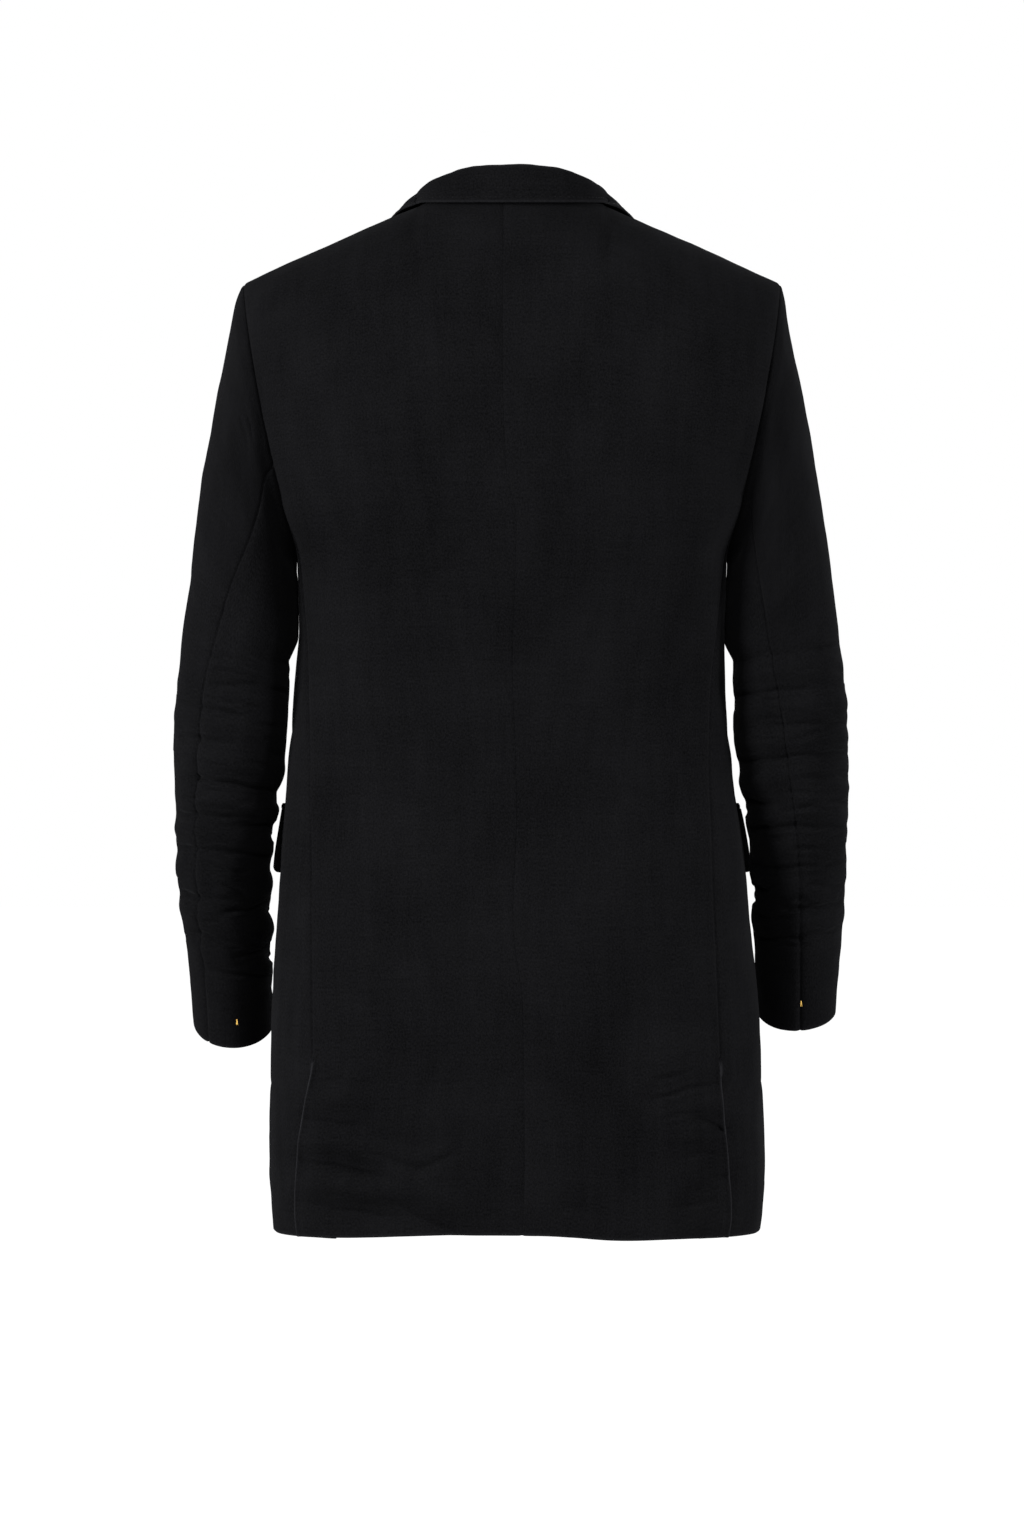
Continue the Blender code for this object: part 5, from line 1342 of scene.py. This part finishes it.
def fall_surface(side, share, along):
    """The leaf, from the fold, share 0, to its outer edge, 1. Below 0 it rolls inwards over the
    fold, to -1, and goes down on the inside, to -2."""
    leaf = np.maximum(share, 0)
    base, normal = collar_place(side, along, leaf)
    neck = collar_place(side, along, np.zeros(share.shape))[0]
    settle = ramp(leaf, 0.0, 1.0) * LEAF_EASE + leaf * (1 - LEAF_EASE)
    # The roll is fullest just below the fold, and flatter towards the outer edge and the gorge.
    fullness = np.sin(np.pi / 2 * np.minimum(leaf / ROLL_FULL_AT, 1)) * (1 - 0.8 * ramp(leaf, 0.3, 1))
    roll = COLLAR_ROLL * fullness * (1 - 0.75 * ramp(along, 0.75, 1.0))
    rise = collar_rise(side, along)
    points = base + rise * (1 - settle)[..., None]
    points = points + away_from_neck(neck) * roll[..., None]
    points = points + normal * (COLLAR_LIFT * ramp(leaf, 0.1, 0.8))[..., None]
    tall = np.linalg.norm(rise, axis=-1)
    size = np.minimum(tall / 1.2, 1)
    turn = np.pi / 2 * np.clip(-share, 0, 1)
    inward = ROLL_DEPTH * size * np.sin(turn)
    lower = ROLL_HEIGHT * size * (1 - np.cos(turn))
    # Past the ends of the stand the inside goes down as far as the neck seam.
    foot = STAND_TOP * (1 - ramp(along, STAND_END - 0.1, STAND_END))
    reach = (1 - foot) * tall + STAND_LAP - ROLL_HEIGHT * size
    lower = lower + np.clip(-share - 1, 0, 1) * np.maximum(reach, 0.05)
    return points - away_from_neck(neck) * inward[..., None] - unit(rise) * lower[..., None]


def stand_surface(side, share, along):
    """The hidden face of the stand, from the neck seam, share 0, to the fold, share 1."""
    neck = collar_place(side, along, np.zeros(share.shape))[0]
    return neck + collar_rise(side, along) * share[..., None] - away_from_neck(neck) * STAND_INSET


def both_sides(surface, share, along):
    """A grid of points across the neck: along runs from one gorge, -1, to the other, 1."""
    share, along = np.broadcast_arrays(share, along)
    left = surface(LEFT, share, np.abs(along))
    right = surface(RIGHT, share, np.abs(along))
    points = np.where((along >= 0)[..., None], left, right)
    points[np.abs(along) < 1e-9, 0] = 0
    return points


COLLAR_WOOL = wool_cloth("wool of the collar", streaks=0.16)

along = np.linspace(-1, 1, 181)
along = np.concatenate([[-1, -0.9985, -0.996], along[1:-1], [0.996, 0.9985, 1]])[None, :]
inside = np.concatenate([-2 + 0.25 * np.arange(4), -1 + 0.125 * np.arange(8)])
share = np.concatenate([inside, np.linspace(0, 0.985, 34) ** 1.25, [0.988, 0.992, 0.9955, 0.998, 1.0]])
leaf_rows = share > 0.05
points = both_sides(fall_surface, share[:, None], along)
edge = from_edge(points, "bottom")
push = wear(points, COLLAR_SOFT_WEAR) * ramp(edge, 0, 1) + wear(points, COLLAR_FINE_WEAR)
# The outer edge is pressed: the cloth is thinnest just inside it and fuller at the edge itself.
push -= COLLAR_PRESSED * bell(edge, *PRESSED_PLACE)
outer = points + grid_normals(points) * push[..., None]
normal = grid_normals(outer)
collar_face = (outer[leaf_rows], normal[leaf_rows])
free = {"top": 0.2, "bottom": 1.0, "first": 1.0, "last": 1.0}
fall = seamed_panel("wool_collar_fall", outer, normal, free, COLLAR_WOOL)
dress(fall, "collar_fall", cut_size(points, SMALL_ALLOWANCE, SMALL_ALLOWANCE))

along = STAND_END * np.linspace(-1, 1, 141)[None, :]
share = np.concatenate([[0, 0.02, 0.05], np.linspace(0.08, STAND_TOP, 12)])[:, None]
points = both_sides(stand_surface, share, along)
free = {"top": 0.0, "bottom": 0.2, "first": 0.5, "last": 0.5}
stand = seamed_panel("wool_collar_stand", points, grid_normals(points), free, COLLAR_WOOL)
dress(stand, "collar_stand", cut_size(points, TRIMMED_ALLOWANCE, TRIMMED_ALLOWANCE))


# ---------------------------------------------------------------- the lapels
# Each lapel is the upper part of the facing, turned out over the chest along the roll line. Its top
# edge leaves a notch below the collar.

LAPEL_GAP = 0.10
LAPEL_WEAR = ((0.02, 3.0, 41),)
LEAF_WALL = 0.15
LEAF_TURN_IN = 0.05
LEAF_PRESSED = 0.04
LAPEL_ROLL = 0.35
GORGE_DROP = 0.6
GORGE_SHARE = 0.53
GORGE_GAP = 0.06
LAPEL_LAYERS = LAPEL_GAP + 0.20
LAPEL_TURN_RADIUS = 0.26
LAPEL_INSIDE = 1.2

# The free edge of a lapel, from its corner, 0, to its foot, 1.
LAPEL_EDGE = Table(
    "along distance height",
    (0.00, 13.7, -7.9),
    (0.25, 12.0, -16.5),
    (0.50, 8.8, -25.5),
    (0.75, 4.2, -34.6),
    (1.00, -1.7, -42.2),
)


def on_front(side, distance, height):
    """The point of the front at a distance from the middle line and a height, and its normal."""
    across = np.full(np.shape(distance), 0.7)
    down = np.full(np.shape(distance), 0.9)
    small = 1e-4
    for _ in range(30):
        here = front_surface(side, across, down)
        by_across = (front_surface(side, across + small, down) - here) / small
        by_down = (front_surface(side, across, down + small) - here) / small
        want_x = side * distance + middle_line(height) - here[..., 0]
        want_z = height - here[..., 2]
        det = by_across[..., 0] * by_down[..., 2] - by_across[..., 2] * by_down[..., 0]
        det = np.where(np.abs(det) < 1e-6, 1e-6, det)
        step_a = (want_x * by_down[..., 2] - want_z * by_down[..., 0]) / det
        step_d = (want_z * by_across[..., 0] - want_x * by_across[..., 2]) / det
        across = across + np.clip(step_a, -0.2, 0.2)
        down = np.clip(down + np.clip(step_d, -0.15, 0.15), 0.02, 2)
    normal = surface_normals(front_surface, side, across, down, (-1, 2), (0, 2))
    return front_surface(side, across, down), normal


def lapel_surface(side, share, along):
    """The lapel's face and the normals of the front under it: share 0 is the roll line."""
    share, along = np.broadcast_arrays(share, along)
    roll_z = GORGE_HEIGHT - GORGE_GAP + (LAPEL_FOOT_HEIGHT - GORGE_HEIGHT + GORGE_GAP) * along
    roll_x = FRONT_EDGE.at("distance", roll_z)
    distance = roll_x + (LAPEL_EDGE.at("distance", along) - roll_x) * share
    height = roll_z + (LAPEL_EDGE.at("height", along) - roll_z) * share
    kink = np.interp(share, (0, GORGE_SHARE, 1), (0, 1, 0))
    height = height - GORGE_DROP * kink * (1 - ramp(along, 0.0, 0.15))
    points, normal = on_front(side, distance, height)
    roll = LAPEL_ROLL * np.sin(np.pi * np.minimum(share / 0.7, 1)) * ramp(along, 0.82, 0.45)
    return points + normal * (LAPEL_LAYERS + roll)[..., None], normal


def laid_leaf(name, points, push, free, wool):
    """A leaf of cloth that lies on a front. Its outer face and normals are for the stitching."""
    outer = points + grid_normals(points) * push[..., None]
    normal = grid_normals(outer)
    face = outer.copy()
    inner = outer - normal * LEAF_WALL
    turn_in((outer, inner), free, LEAF_TURN_IN)
    return cloth_shell(name, outer, inner, free, wool), face, normal


LAPEL_WOOL = wool_cloth("wool of the lapels", streaks=0.16)
lapel_faces = {}

for name, side in SIDES.items():
    along = np.concatenate([[0, 0.0015, 0.004, 0.008], np.linspace(0.013, 0.99, 92), [0.994, 0.997, 1.0]])
    share = np.concatenate([np.linspace(0, 0.97, 32), [0.98, 0.988, 0.994, 1.0]])
    face, under = lapel_surface(side, share[None, :], along[:, None])
    # Round the roll line the cloth turns in through half a circle, and goes on along the inside.
    up = under[:, 0]
    into = unit(face[:, 0] - face[:, 1])
    centre = face[:, 0] - up * LAPEL_TURN_RADIUS
    turned = [centre - up * LAPEL_TURN_RADIUS - into * reach for reach in np.linspace(LAPEL_INSIDE, 0.15, 6)]
    for turn in np.radians(np.arange(180, 0, -15)):
        turned.append(centre + LAPEL_TURN_RADIUS * (up * np.cos(turn) + into * np.sin(turn)))
    points = np.concatenate([np.stack(turned, axis=1), face], axis=1)
    push = wear(points, LAPEL_WEAR)
    pressed = LEAF_PRESSED * bell(from_edge(points, "last"), *PRESSED_PLACE)
    push -= pressed * ramp(along[:, None], 1.0, 0.9)
    free = {"top": 1.0, "bottom": 0.6, "first": 0.6, "last": 1.0}
    piece, outer, normal = laid_leaf("wool_lapel_" + name, points, push, free, LAPEL_WOOL)
    lapel_faces[side] = (outer[:, len(turned) :], normal[:, len(turned) :])
    dress(piece, "lapel_" + name, cut_size(points, SMALL_ALLOWANCE, SMALL_ALLOWANCE))


# ---------------------------------------------------------------- the hip pockets
# Each hip pocket is closed by a flap with softly rounded corners, which hangs from a narrow piped
# mouth. The flap lies on the front and the side body, and stands off a little at its foot.

LAID_GAP = 0.05
FLAP_TOP = -51.4
FLAP_HEIGHT = 5.5
FLAP_REAR_TURN = 92.0
FLAP_FRONT_TURN = 152.0
FLAP_CORNER = 0.5
FLAP_STAND_OFF = 0.35
FLAP_WEAR = ((0.03, 3.5, 51),)
FLAP_PRESSED_PLACE = (0.5, 0.18)
PIPING_HEIGHT = 0.55
PIPING_EDGE = 0.06
PIPING_PROUD = 0.16
PIPING_WALL = 0.10


def body_section(side, turn, height):
    """A point of the body below the arms, and its normal. turn is from the middle of the back."""
    def place(turn, height):
        x, y = level_section(turn, height)
        return stack(side * x + middle_line(height), y, height)

    small = 1e-3
    here = place(turn, height)
    normal = np.cross(place(turn + small, height) - here, place(turn, height - small) - here)
    return here, side * unit(normal)


def flap_surface(side, share, fall):
    """The flap's face: share 0 is its rear end, fall runs from the pocket mouth to the lower edge."""
    share, fall = np.broadcast_arrays(share, fall)
    turn = np.radians(FLAP_REAR_TURN + (FLAP_FRONT_TURN - FLAP_REAR_TURN) * share)
    corner = 1 - FLAP_CORNER / FLAP_HEIGHT * np.abs(2 * share - 1) ** 8
    here, normal = body_section(side, turn, FLAP_TOP - FLAP_HEIGHT * fall * corner)
    stand_off = FLAP_STAND_OFF * fall * (1 - 0.6 * share)
    return here + normal * (LAID_GAP + 0.20 + stand_off)[..., None]


FLAP_WOOL = wool_cloth("wool of the pocket flaps", streaks=0.16)
flap_faces = {}

for name, side in SIDES.items():
    share = np.concatenate([[0, 0.002, 0.006], np.linspace(0.012, 0.988, 62), [0.994, 0.998, 1.0]])
    fall_down = np.concatenate([np.linspace(0, 0.98, 32), [0.986, 0.992, 0.997, 1.0]])
    points = flap_surface(side, share[None, :], fall_down[:, None])
    edge = np.minimum.reduce([from_edge(points, rim) for rim in ("bottom", "first", "last")])
    push = wear(points, FLAP_WEAR) - LEAF_PRESSED * bell(edge, *FLAP_PRESSED_PLACE)
    free = {"top": 0.0, "bottom": 1.0, "first": 1.0, "last": 1.0}
    flap, outer, normal = laid_leaf("wool_pocket_flap_" + name, points, push, free, FLAP_WOOL)
    flap_faces[side] = (outer, normal)

    share, up = np.meshgrid(np.linspace(-0.015, 1.015, 70), np.linspace(0, 1, 13))
    turn = np.radians(FLAP_REAR_TURN + (FLAP_FRONT_TURN - FLAP_REAR_TURN) * share)
    here, normal = body_section(side, turn, FLAP_TOP + PIPING_HEIGHT * (1 - up))
    proud = PIPING_EDGE + PIPING_PROUD * np.sin(np.pi * (0.08 + 0.84 * up)) ** 0.6
    outer = here + normal * proud[..., None]
    free = dict.fromkeys(("top", "bottom", "first", "last"), 0.2)
    piping = cloth_shell("pocket_piping_" + name, outer, outer - normal * PIPING_WALL, free, FLAP_WOOL)
    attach(piping, "root")
    cut = cut_size(points, SMALL_ALLOWANCE, SMALL_ALLOWANCE)
    dress(flap, "pocket_flap_" + name, cut)


# ---------------------------------------------------------------- the edge stitching
# Fine black silk runs a short way inside the edges of the collar, the lapels and the flaps. It is
# sewn through by hand, with a small gap between the stitches.

# A stitch is its spacing, its length and its thickness.
EDGE_STITCH = (0.42, 0.20, 0.045)
STITCH_INSET = 0.45
THREAD_TWIST = (0.0003, 0.0003, 0.0009)
THREAD_SHADE = 0.6
THREAD_ROUGHNESS = (0.45, 0.65)


def thread_of(name, colour, gloss):
    """Twisted thread: a little glossy, with a fine twist across it."""
    material, tree, shader = new_material(name, {"Specular IOR Level": gloss})
    place = tree.nodes.new("ShaderNodeTexCoord").outputs["Object"]
    twist = noise_at(tree, place, THREAD_TWIST, 2.0)
    shade_between(tree, twist, [THREAD_SHADE * part for part in colour], colour, shader)
    tree.links.new(spread(tree, twist, (0, 1), THREAD_ROUGHNESS), shader.inputs["Roughness"])
    return material


BLACK_SILK = thread_of("black silk thread", (0.0022, 0.0022, 0.0025), 0.06)


def stitch_tree():
    """Stitches along lines: one on each step of a line, turned about the cloth's own normal."""
    tree = bpy.data.node_groups.new("row of stitches", "GeometryNodeTree")
    for label in ("Lines", "Spacing", "Length", "Thickness", "Turn", "Thread"):
        kind = {"Lines": "Geometry", "Thread": "Material"}.get(label, "Float")
        tree.interface.new_socket(label, in_out="INPUT", socket_type="NodeSocket" + kind)
    tree.interface.new_socket("Stitches", in_out="OUTPUT", socket_type="NodeSocketGeometry")
    given = tree.nodes.new("NodeGroupInput").outputs

    def add(kind, inputs=(), **settings):
        """The first output of a new node."""
        return add_node(tree, kind, inputs, **settings).outputs[0]

    curve = add("GeometryNodeMeshToCurve", {"Mesh": given["Lines"]})
    steps = add("GeometryNodeResampleCurve", {"Curve": curve, "Length": given["Spacing"]}, mode="LENGTH")
    out = add("GeometryNodeInputNamedAttribute", {"Name": "out"}, data_type="FLOAT_VECTOR")
    axes = {"Primary Axis": out, "Secondary Axis": add("GeometryNodeInputTangent")}
    facing = add("FunctionNodeAxesToRotation", axes, primary_axis="Z", secondary_axis="X")
    turn = {"Rotation": facing, "Rotate By": add("ShaderNodeCombineXYZ", {"Z": given["Turn"]})}
    turned = add("FunctionNodeRotateRotation", turn, rotation_space="LOCAL")
    bead = add("GeometryNodeMeshUVSphere", {"Segments": 6, "Rings": 5, "Radius": 0.5})
    thick = given["Thickness"]
    size = add("ShaderNodeCombineXYZ", {"X": thick, "Y": thick, "Z": given["Length"]})
    stretched = add("GeometryNodeTransform", {"Geometry": bead, "Scale": size})
    laid = add("GeometryNodeTransform", {"Geometry": stretched, "Rotation": (0.0, np.pi / 2, 0.0)})
    placed = add("GeometryNodeInstanceOnPoints", {"Points": steps, "Instance": laid, "Rotation": turned})
    real = add("GeometryNodeRealizeInstances", {"Geometry": placed})
    smooth = add("GeometryNodeSetShadeSmooth", {"Geometry": real})
    sewn = add("GeometryNodeSetMaterial", {"Geometry": smooth, "Material": given["Thread"]})
    add_node(tree, "NodeGroupOutput", {"Stitches": sewn})
    return tree


STITCHES = stitch_tree()


def sew(name, lines, thread, stitch, turn=0.0):
    """Stitches along lines, each of which is a pair: its points in centimetres and their normals."""
    data = bpy.data.meshes.new(name + "_lines")
    places = np.concatenate([line for line, _ in lines])
    normals = np.concatenate([out for _, out in lines])
    starts = np.cumsum([0] + [len(line) for line, _ in lines])
    edges = [(k, k + 1) for a, b in zip(starts, starts[1:]) for k in range(a, b - 1)]
    data.from_pydata((places * CM).tolist(), edges, [])
    data.attributes.new("out", "FLOAT_VECTOR", "POINT").data.foreach_set("vector", normals.ravel())
    guide = new_piece(name + "_lines", data)
    modifier = guide.modifiers.new("stitches", "NODES")
    modifier.node_group = STITCHES
    values = {label: size * CM for label, size in zip(("Spacing", "Length", "Thickness"), stitch)}
    values |= {"Turn": turn, "Thread": thread}
    for socket in STITCHES.interface.items_tree:
        if socket.name in values:
            modifier[socket.identifier] = values[socket.name]
    seen = guide.evaluated_get(bpy.context.evaluated_depsgraph_get())
    sewn = bpy.data.meshes.new_from_object(seen)
    sewn.name = name
    bpy.data.objects.remove(guide, do_unlink=True)
    piece = new_piece(name, sewn)
    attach(piece, "root")


def line_inside(face, edge, inset, ends):
    """The line that runs inside an edge of a face, as far as the same inset from its ends."""
    points, normal = face
    layers = [points, normal] + [from_edge(points, end)[..., None] for end in ends]
    grid = edge_first(np.concatenate(layers, axis=-1), edge).swapaxes(0, 1)
    far = edge_first(from_edge(points, edge), edge).T
    channels = range(grid.shape[2])
    line = [[np.interp(inset, step, part[:, k]) for k in channels] for step, part in zip(far, grid)]
    line = np.array(line)
    line = line[np.all(line[:, 6:] > inset, axis=1)]
    return line[:, :3], unit(line[:, 3:6])


rows_sewn = {"collar": (collar_face, ("bottom", "first", "last"))}
for name, side in SIDES.items():
    rows_sewn["lapel_" + name] = (lapel_faces[side], ("top", "last"))
    rows_sewn["pocket_flap_" + name] = (flap_faces[side], ("bottom", "first", "last"))
for name, (face, edges) in rows_sewn.items():
    lines = []
    for edge in edges:
        across_it = ("first", "last") if edge in ("top", "bottom") else ("top", "bottom")
        ends = [end for end in across_it if end in edges]
        lines.append(line_inside(face, edge, STITCH_INSET, ends))
    sew("edge_stitches_" + name, lines, BLACK_SILK, EDGE_STITCH)


# ---------------------------------------------------------------- the buttons and their holes
# Two black horn buttons with four holes close the front. Each is sewn on with a cross of black thread
# and goes through a worked hole in the left front. The left lapel has a worked hole for a flower.

BUTTON_HEIGHTS = {"upper": -45.2, "lower": -56.0}
BUTTON_RADIUS = 1.05
BUTTON_THICKNESS = 0.32
THREAD_HOLE_RADIUS = 0.10
THREAD_HOLES = ((0.22, 0.22), (-0.22, 0.22), (0.22, -0.22), (-0.22, -0.22))
STRAND_OFFSETS = (-0.035, 0.0, 0.035)
STRAND_ABOVE = 0.035
STRAND_BOW = 0.05
STRAND_DIVE = 0.12
BUTTON_FACE = 0.72
BUTTONHOLE_LENGTH = 2.5
BUTTONHOLE_START = -0.3
FLOWER_HOLE_ROW = 12
FLOWER_HOLE_INSET = (0.7, 2.9)
HOLE_HALF_WIDTH = 0.09
HOLE_ABOVE_FRONT = 0.02
HOLE_ABOVE_LAPEL = 0.03
PURL_STITCH = (0.055, 0.17, 0.055)
STRAND_STITCH = (0.035, 0.07, 0.055)
HORN_BLACK = (0.0014, 0.0013, 0.0012)
HORN_BROWN = (0.0045, 0.0038, 0.003)
HORN_STREAKS = (0.012, 0.02, 0.0025)
HORN_ROUGHNESS = (0.30, 0.45)

# The button's section, as shares of its radius and its thickness.
BUTTON_PROFILE = (
    (0.0, 0.0),
    (0.85, 0.0),
    (0.97, 0.20),
    (1.0, 0.45),
    (0.99, 0.75),
    (0.94, 0.95),
    (0.87, 1.0),
    (0.80, 0.96),
    (0.72, 0.82),
    (0.60, 0.74),
    (0.0, BUTTON_FACE),
)


def horn(name):
    """Polished black horn, with faint brownish streaks."""
    material, tree, shader = new_material(name, {"Specular IOR Level": 0.08})
    place = tree.nodes.new("ShaderNodeTexCoord").outputs["Object"]
    streaks = noise_at(tree, place, HORN_STREAKS, 5.0)
    shade_between(tree, spread(tree, streaks, (0.35, 0.75)), HORN_BLACK, HORN_BROWN, shader)
    tree.links.new(spread(tree, streaks, (0, 1), HORN_ROUGHNESS), shader.inputs["Roughness"])
    return material


HORN = horn("black horn")


def turned_solid(name, profile, radius, segments):
    """A solid turned about Z from its section, in metres."""
    mesh = bmesh.new()
    points = [mesh.verts.new((r * radius * CM, 0, z * BUTTON_THICKNESS * CM)) for r, z in profile]
    edges = [mesh.edges.new(pair) for pair in zip(points, points[1:])]
    whole = 2 * np.pi
    bmesh.ops.spin(mesh, geom=points + edges, axis=(0, 0, 1), cent=(0, 0, 0), angle=whole, steps=segments)
    bmesh.ops.remove_doubles(mesh, verts=mesh.verts, dist=1e-6)
    bmesh.ops.recalc_face_normals(mesh, faces=mesh.faces)
    data = bpy.data.meshes.new(name)
    mesh.to_mesh(data)
    mesh.free()
    return new_piece(name, data)


def drill_through(button, places):
    """Drills a thread hole through a button at each of some places, in centimetres."""
    section = ((0.0, -1.0), (1.0, -1.0), (1.0, 2.0), (0.0, 2.0))
    drill = turned_solid("drill", section, THREAD_HOLE_RADIUS, 16)
    for x, y in places:
        drill.location = (x * CM, y * CM, 0.0)
        cut = button.modifiers.new("hole", "BOOLEAN")
        cut.object = drill
        bpy.context.view_layer.update()
        seen = button.evaluated_get(bpy.context.evaluated_depsgraph_get())
        drilled = bpy.data.meshes.new_from_object(seen)
        button.modifiers.clear()
        button.data = drilled
    bpy.data.objects.remove(drill, do_unlink=True)


def thread_cross(turned, normal):
    """The strands between opposite holes of a turned button, each as its points and their normals."""
    strands = []
    reach = np.linspace(-1, 1, 13)[:, None]
    for x, y in THREAD_HOLES[:2]:
        beside = np.array([-y, x]) / np.hypot(x, y)
        for off in STRAND_OFFSETS:
            # A strand bows up between its holes and dives into them.
            rise = BUTTON_FACE * BUTTON_THICKNESS + STRAND_ABOVE + STRAND_BOW * (1 - reach**2)
            rise = rise - STRAND_DIVE * ramp(np.abs(reach), 0.88, 1.0)
            local = np.concatenate([reach * (x, y) + beside * off, rise], axis=1) * CM
            strand = np.array([turned @ Vector(place) for place in local]) / CM
            strands.append((strand, np.repeat(normal, len(strand), axis=0)))
    return strands


def hole_loop(run):
    """How far a narrow slot's edge lies beside its middle line, for places round it."""
    return HOLE_HALF_WIDTH * np.sign(np.sin(run)) * np.abs(np.sin(run)) ** 0.4


worked_holes = []
loop = np.linspace(0, 2 * np.pi, 60)
for name, height in BUTTON_HEIGHTS.items():
    seat, normal = on_front(LEFT, np.array([0.0]), np.array([height]))
    turned = Vector(normal[0]).to_track_quat("Z", "Y").to_matrix().to_4x4()
    turned.translation = Vector((seat[0] + normal[0] * LAID_GAP) * CM)
    button = turned_solid("horn_button_" + name, BUTTON_PROFILE, BUTTON_RADIUS, 64)
    button.data.materials.append(HORN)
    drill_through(button, THREAD_HOLES)
    button.data.transform(turned)
    button.data.shade_smooth()
    button.data.set_sharp_from_angle(angle=np.radians(38))
    button.data.name = button.name
    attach(button, "root")
    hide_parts("button_" + name)

    strands = thread_cross(turned, normal)
    sew("button_thread_" + name, strands, BLACK_SILK, STRAND_STITCH)

    # The buttonhole starts under the button and runs on towards the side.
    run = BUTTONHOLE_START + BUTTONHOLE_LENGTH / 2 * (1 + np.cos(loop))
    rim, out = on_front(LEFT, run, height + hole_loop(loop))
    worked_holes.append((rim + out * HOLE_ABOVE_FRONT, out))

points, normal = lapel_faces[LEFT]
row = points[FLOWER_HOLE_ROW, ::-1]
far = np.cumsum(np.linalg.norm(np.diff(row, axis=0, prepend=row[:1]), axis=1))
run = np.interp(np.cos(loop), (-1, 1), FLOWER_HOLE_INSET)
base = np.stack([np.interp(run, far, row[:, k]) for k in range(3)], axis=1)
out = np.repeat(normal[FLOWER_HOLE_ROW, -10:-9], len(loop), axis=0)
beside = unit(np.cross(out, row[0] - row[8]))
worked_holes.append((base + beside * hole_loop(loop)[:, None] + out * HOLE_ABOVE_LAPEL, out))
sew("worked_holes", worked_holes, BLACK_SILK, PURL_STITCH, turn=np.pi / 2)


# ---------------------------------------------------------------- the cuff tacks
# One short yellow thread is left on each cuff at the back of the hand, a little above its edge. It is
# a tack of two strands that a tailor would pull out.

CUFF_TACKS = {"left": (LEFT, 23.75, -69.75), "right": (RIGHT, 24.95, -68.15)}
TACK_LENGTH = 0.42
TACK_STITCH = (0.05, 0.10, 0.06)
YELLOW_THREAD = thread_of("yellow tacking thread", (0.62, 0.38, 0.08), 0.30)


def behind_sleeve(side, x, z):
    """The point at the rear of a sleeve at a distance from the middle line and a height."""
    heights, angles = np.meshgrid(np.linspace(-60, CUFF_HEIGHT, 200), np.radians(np.linspace(30, 150, 240)))
    points = sleeve_surface(side, angles, heights)
    off = np.hypot(side * points[..., 0] - x, points[..., 2] - z)
    return points.reshape(-1, 3)[off.argmin()]


for name, (side, x, z) in CUFF_TACKS.items():
    place = behind_sleeve(side, x, z) + (0.0, 0.05, 0.0)
    rise = np.linspace(-0.5, 0.5, 9)
    strands = []
    for lean, off in ((0.06, -0.03), (-0.04, 0.03)):
        strand = place + stack(off + lean * rise, 0.03 * (1 - 4 * rise**2), rise * TACK_LENGTH)
        strands.append((strand, np.repeat([[0.0, 1.0, 0.0]], 9, axis=0)))
    sew("cuff_tack_" + name, strands, YELLOW_THREAD, TACK_STITCH)


# ---------------------------------------------------------------- the studio
# A seamless white room: a pale floor well below the blazer, a white surround, and large soft lights
# on both sides, in front and above, the stronger one on the wearer's left.

CAMERA_DISTANCE = 4.0
CAMERA_HEIGHT = -0.478
FRAME_HALF_HEIGHT = 0.662
FLOOR_HEIGHT = -1.5
LIT_PLACE = (0, 0, -0.45)

# The soft lights: where each one stands, its width and height in metres, and its power in watts.
SOFT_LIGHTS = {
    "left light": ((2.8, 1.8, 0.4), (1.0, 1.6), 330),
    "right light": ((-3.2, 1.5, 0.3), (1.0, 1.6), 240),
    "top light": ((0.2, 2.6, 1.9), (1.6, 1.0), 45),
    "front light": ((-1.5, -3.4, 0.9), (2.0, 2.4), 180),
}


def soft_light(name, place, size, power):
    """A large soft light that looks at the middle of the blazer."""
    data = bpy.data.lights.new(name, "AREA")
    data.shape = "RECTANGLE"
    data.size, data.size_y = size
    data.energy = power
    light = new_piece(name, data)
    light.location = place
    towards = Vector(LIT_PLACE) - Vector(place)
    light.rotation_euler = towards.to_track_quat("-Z", "Y").to_euler()
    light.visible_camera = False


for name, (place, size, power) in SOFT_LIGHTS.items():
    soft_light(name, place, size, power)

mesh = bmesh.new()
bmesh.ops.create_grid(mesh, x_segments=1, y_segments=1, size=30)
bmesh.ops.transform(mesh, matrix=Matrix.Translation((0, 0, FLOOR_HEIGHT)), verts=mesh.verts)
data = bpy.data.meshes.new("floor")
mesh.to_mesh(data)
mesh.free()
floor = new_piece("floor", data)
floor_looks = {
    "Base Color": (0.2, 0.2, 0.2, 1.0),
    "Roughness": 1.0,
    "Specular IOR Level": 0.0,
    "Emission Color": (1.0, 1.0, 1.0, 1.0),
    "Emission Strength": 0.85,
}
floor.data.materials.append(new_material("pale floor", floor_looks)[0])

world = bpy.data.worlds.new("white surround")
world.use_nodes = True
world.node_tree.nodes["Background"].inputs["Color"].default_value = (1.0, 1.0, 1.0, 1.0)
bpy.context.scene.world = world
bpy.context.scene.view_settings.view_transform = "Standard"

lens = bpy.data.cameras.new("camera")
lens.sensor_fit = "VERTICAL"
lens.angle_y = 2 * np.arctan(FRAME_HALF_HEIGHT / CAMERA_DISTANCE)
lens.clip_end = 100
camera = new_piece("camera", lens)
camera.location = (0, CAMERA_DISTANCE, CAMERA_HEIGHT)
camera.rotation_euler = (np.pi / 2, 0, np.pi)
bpy.context.scene.camera = camera
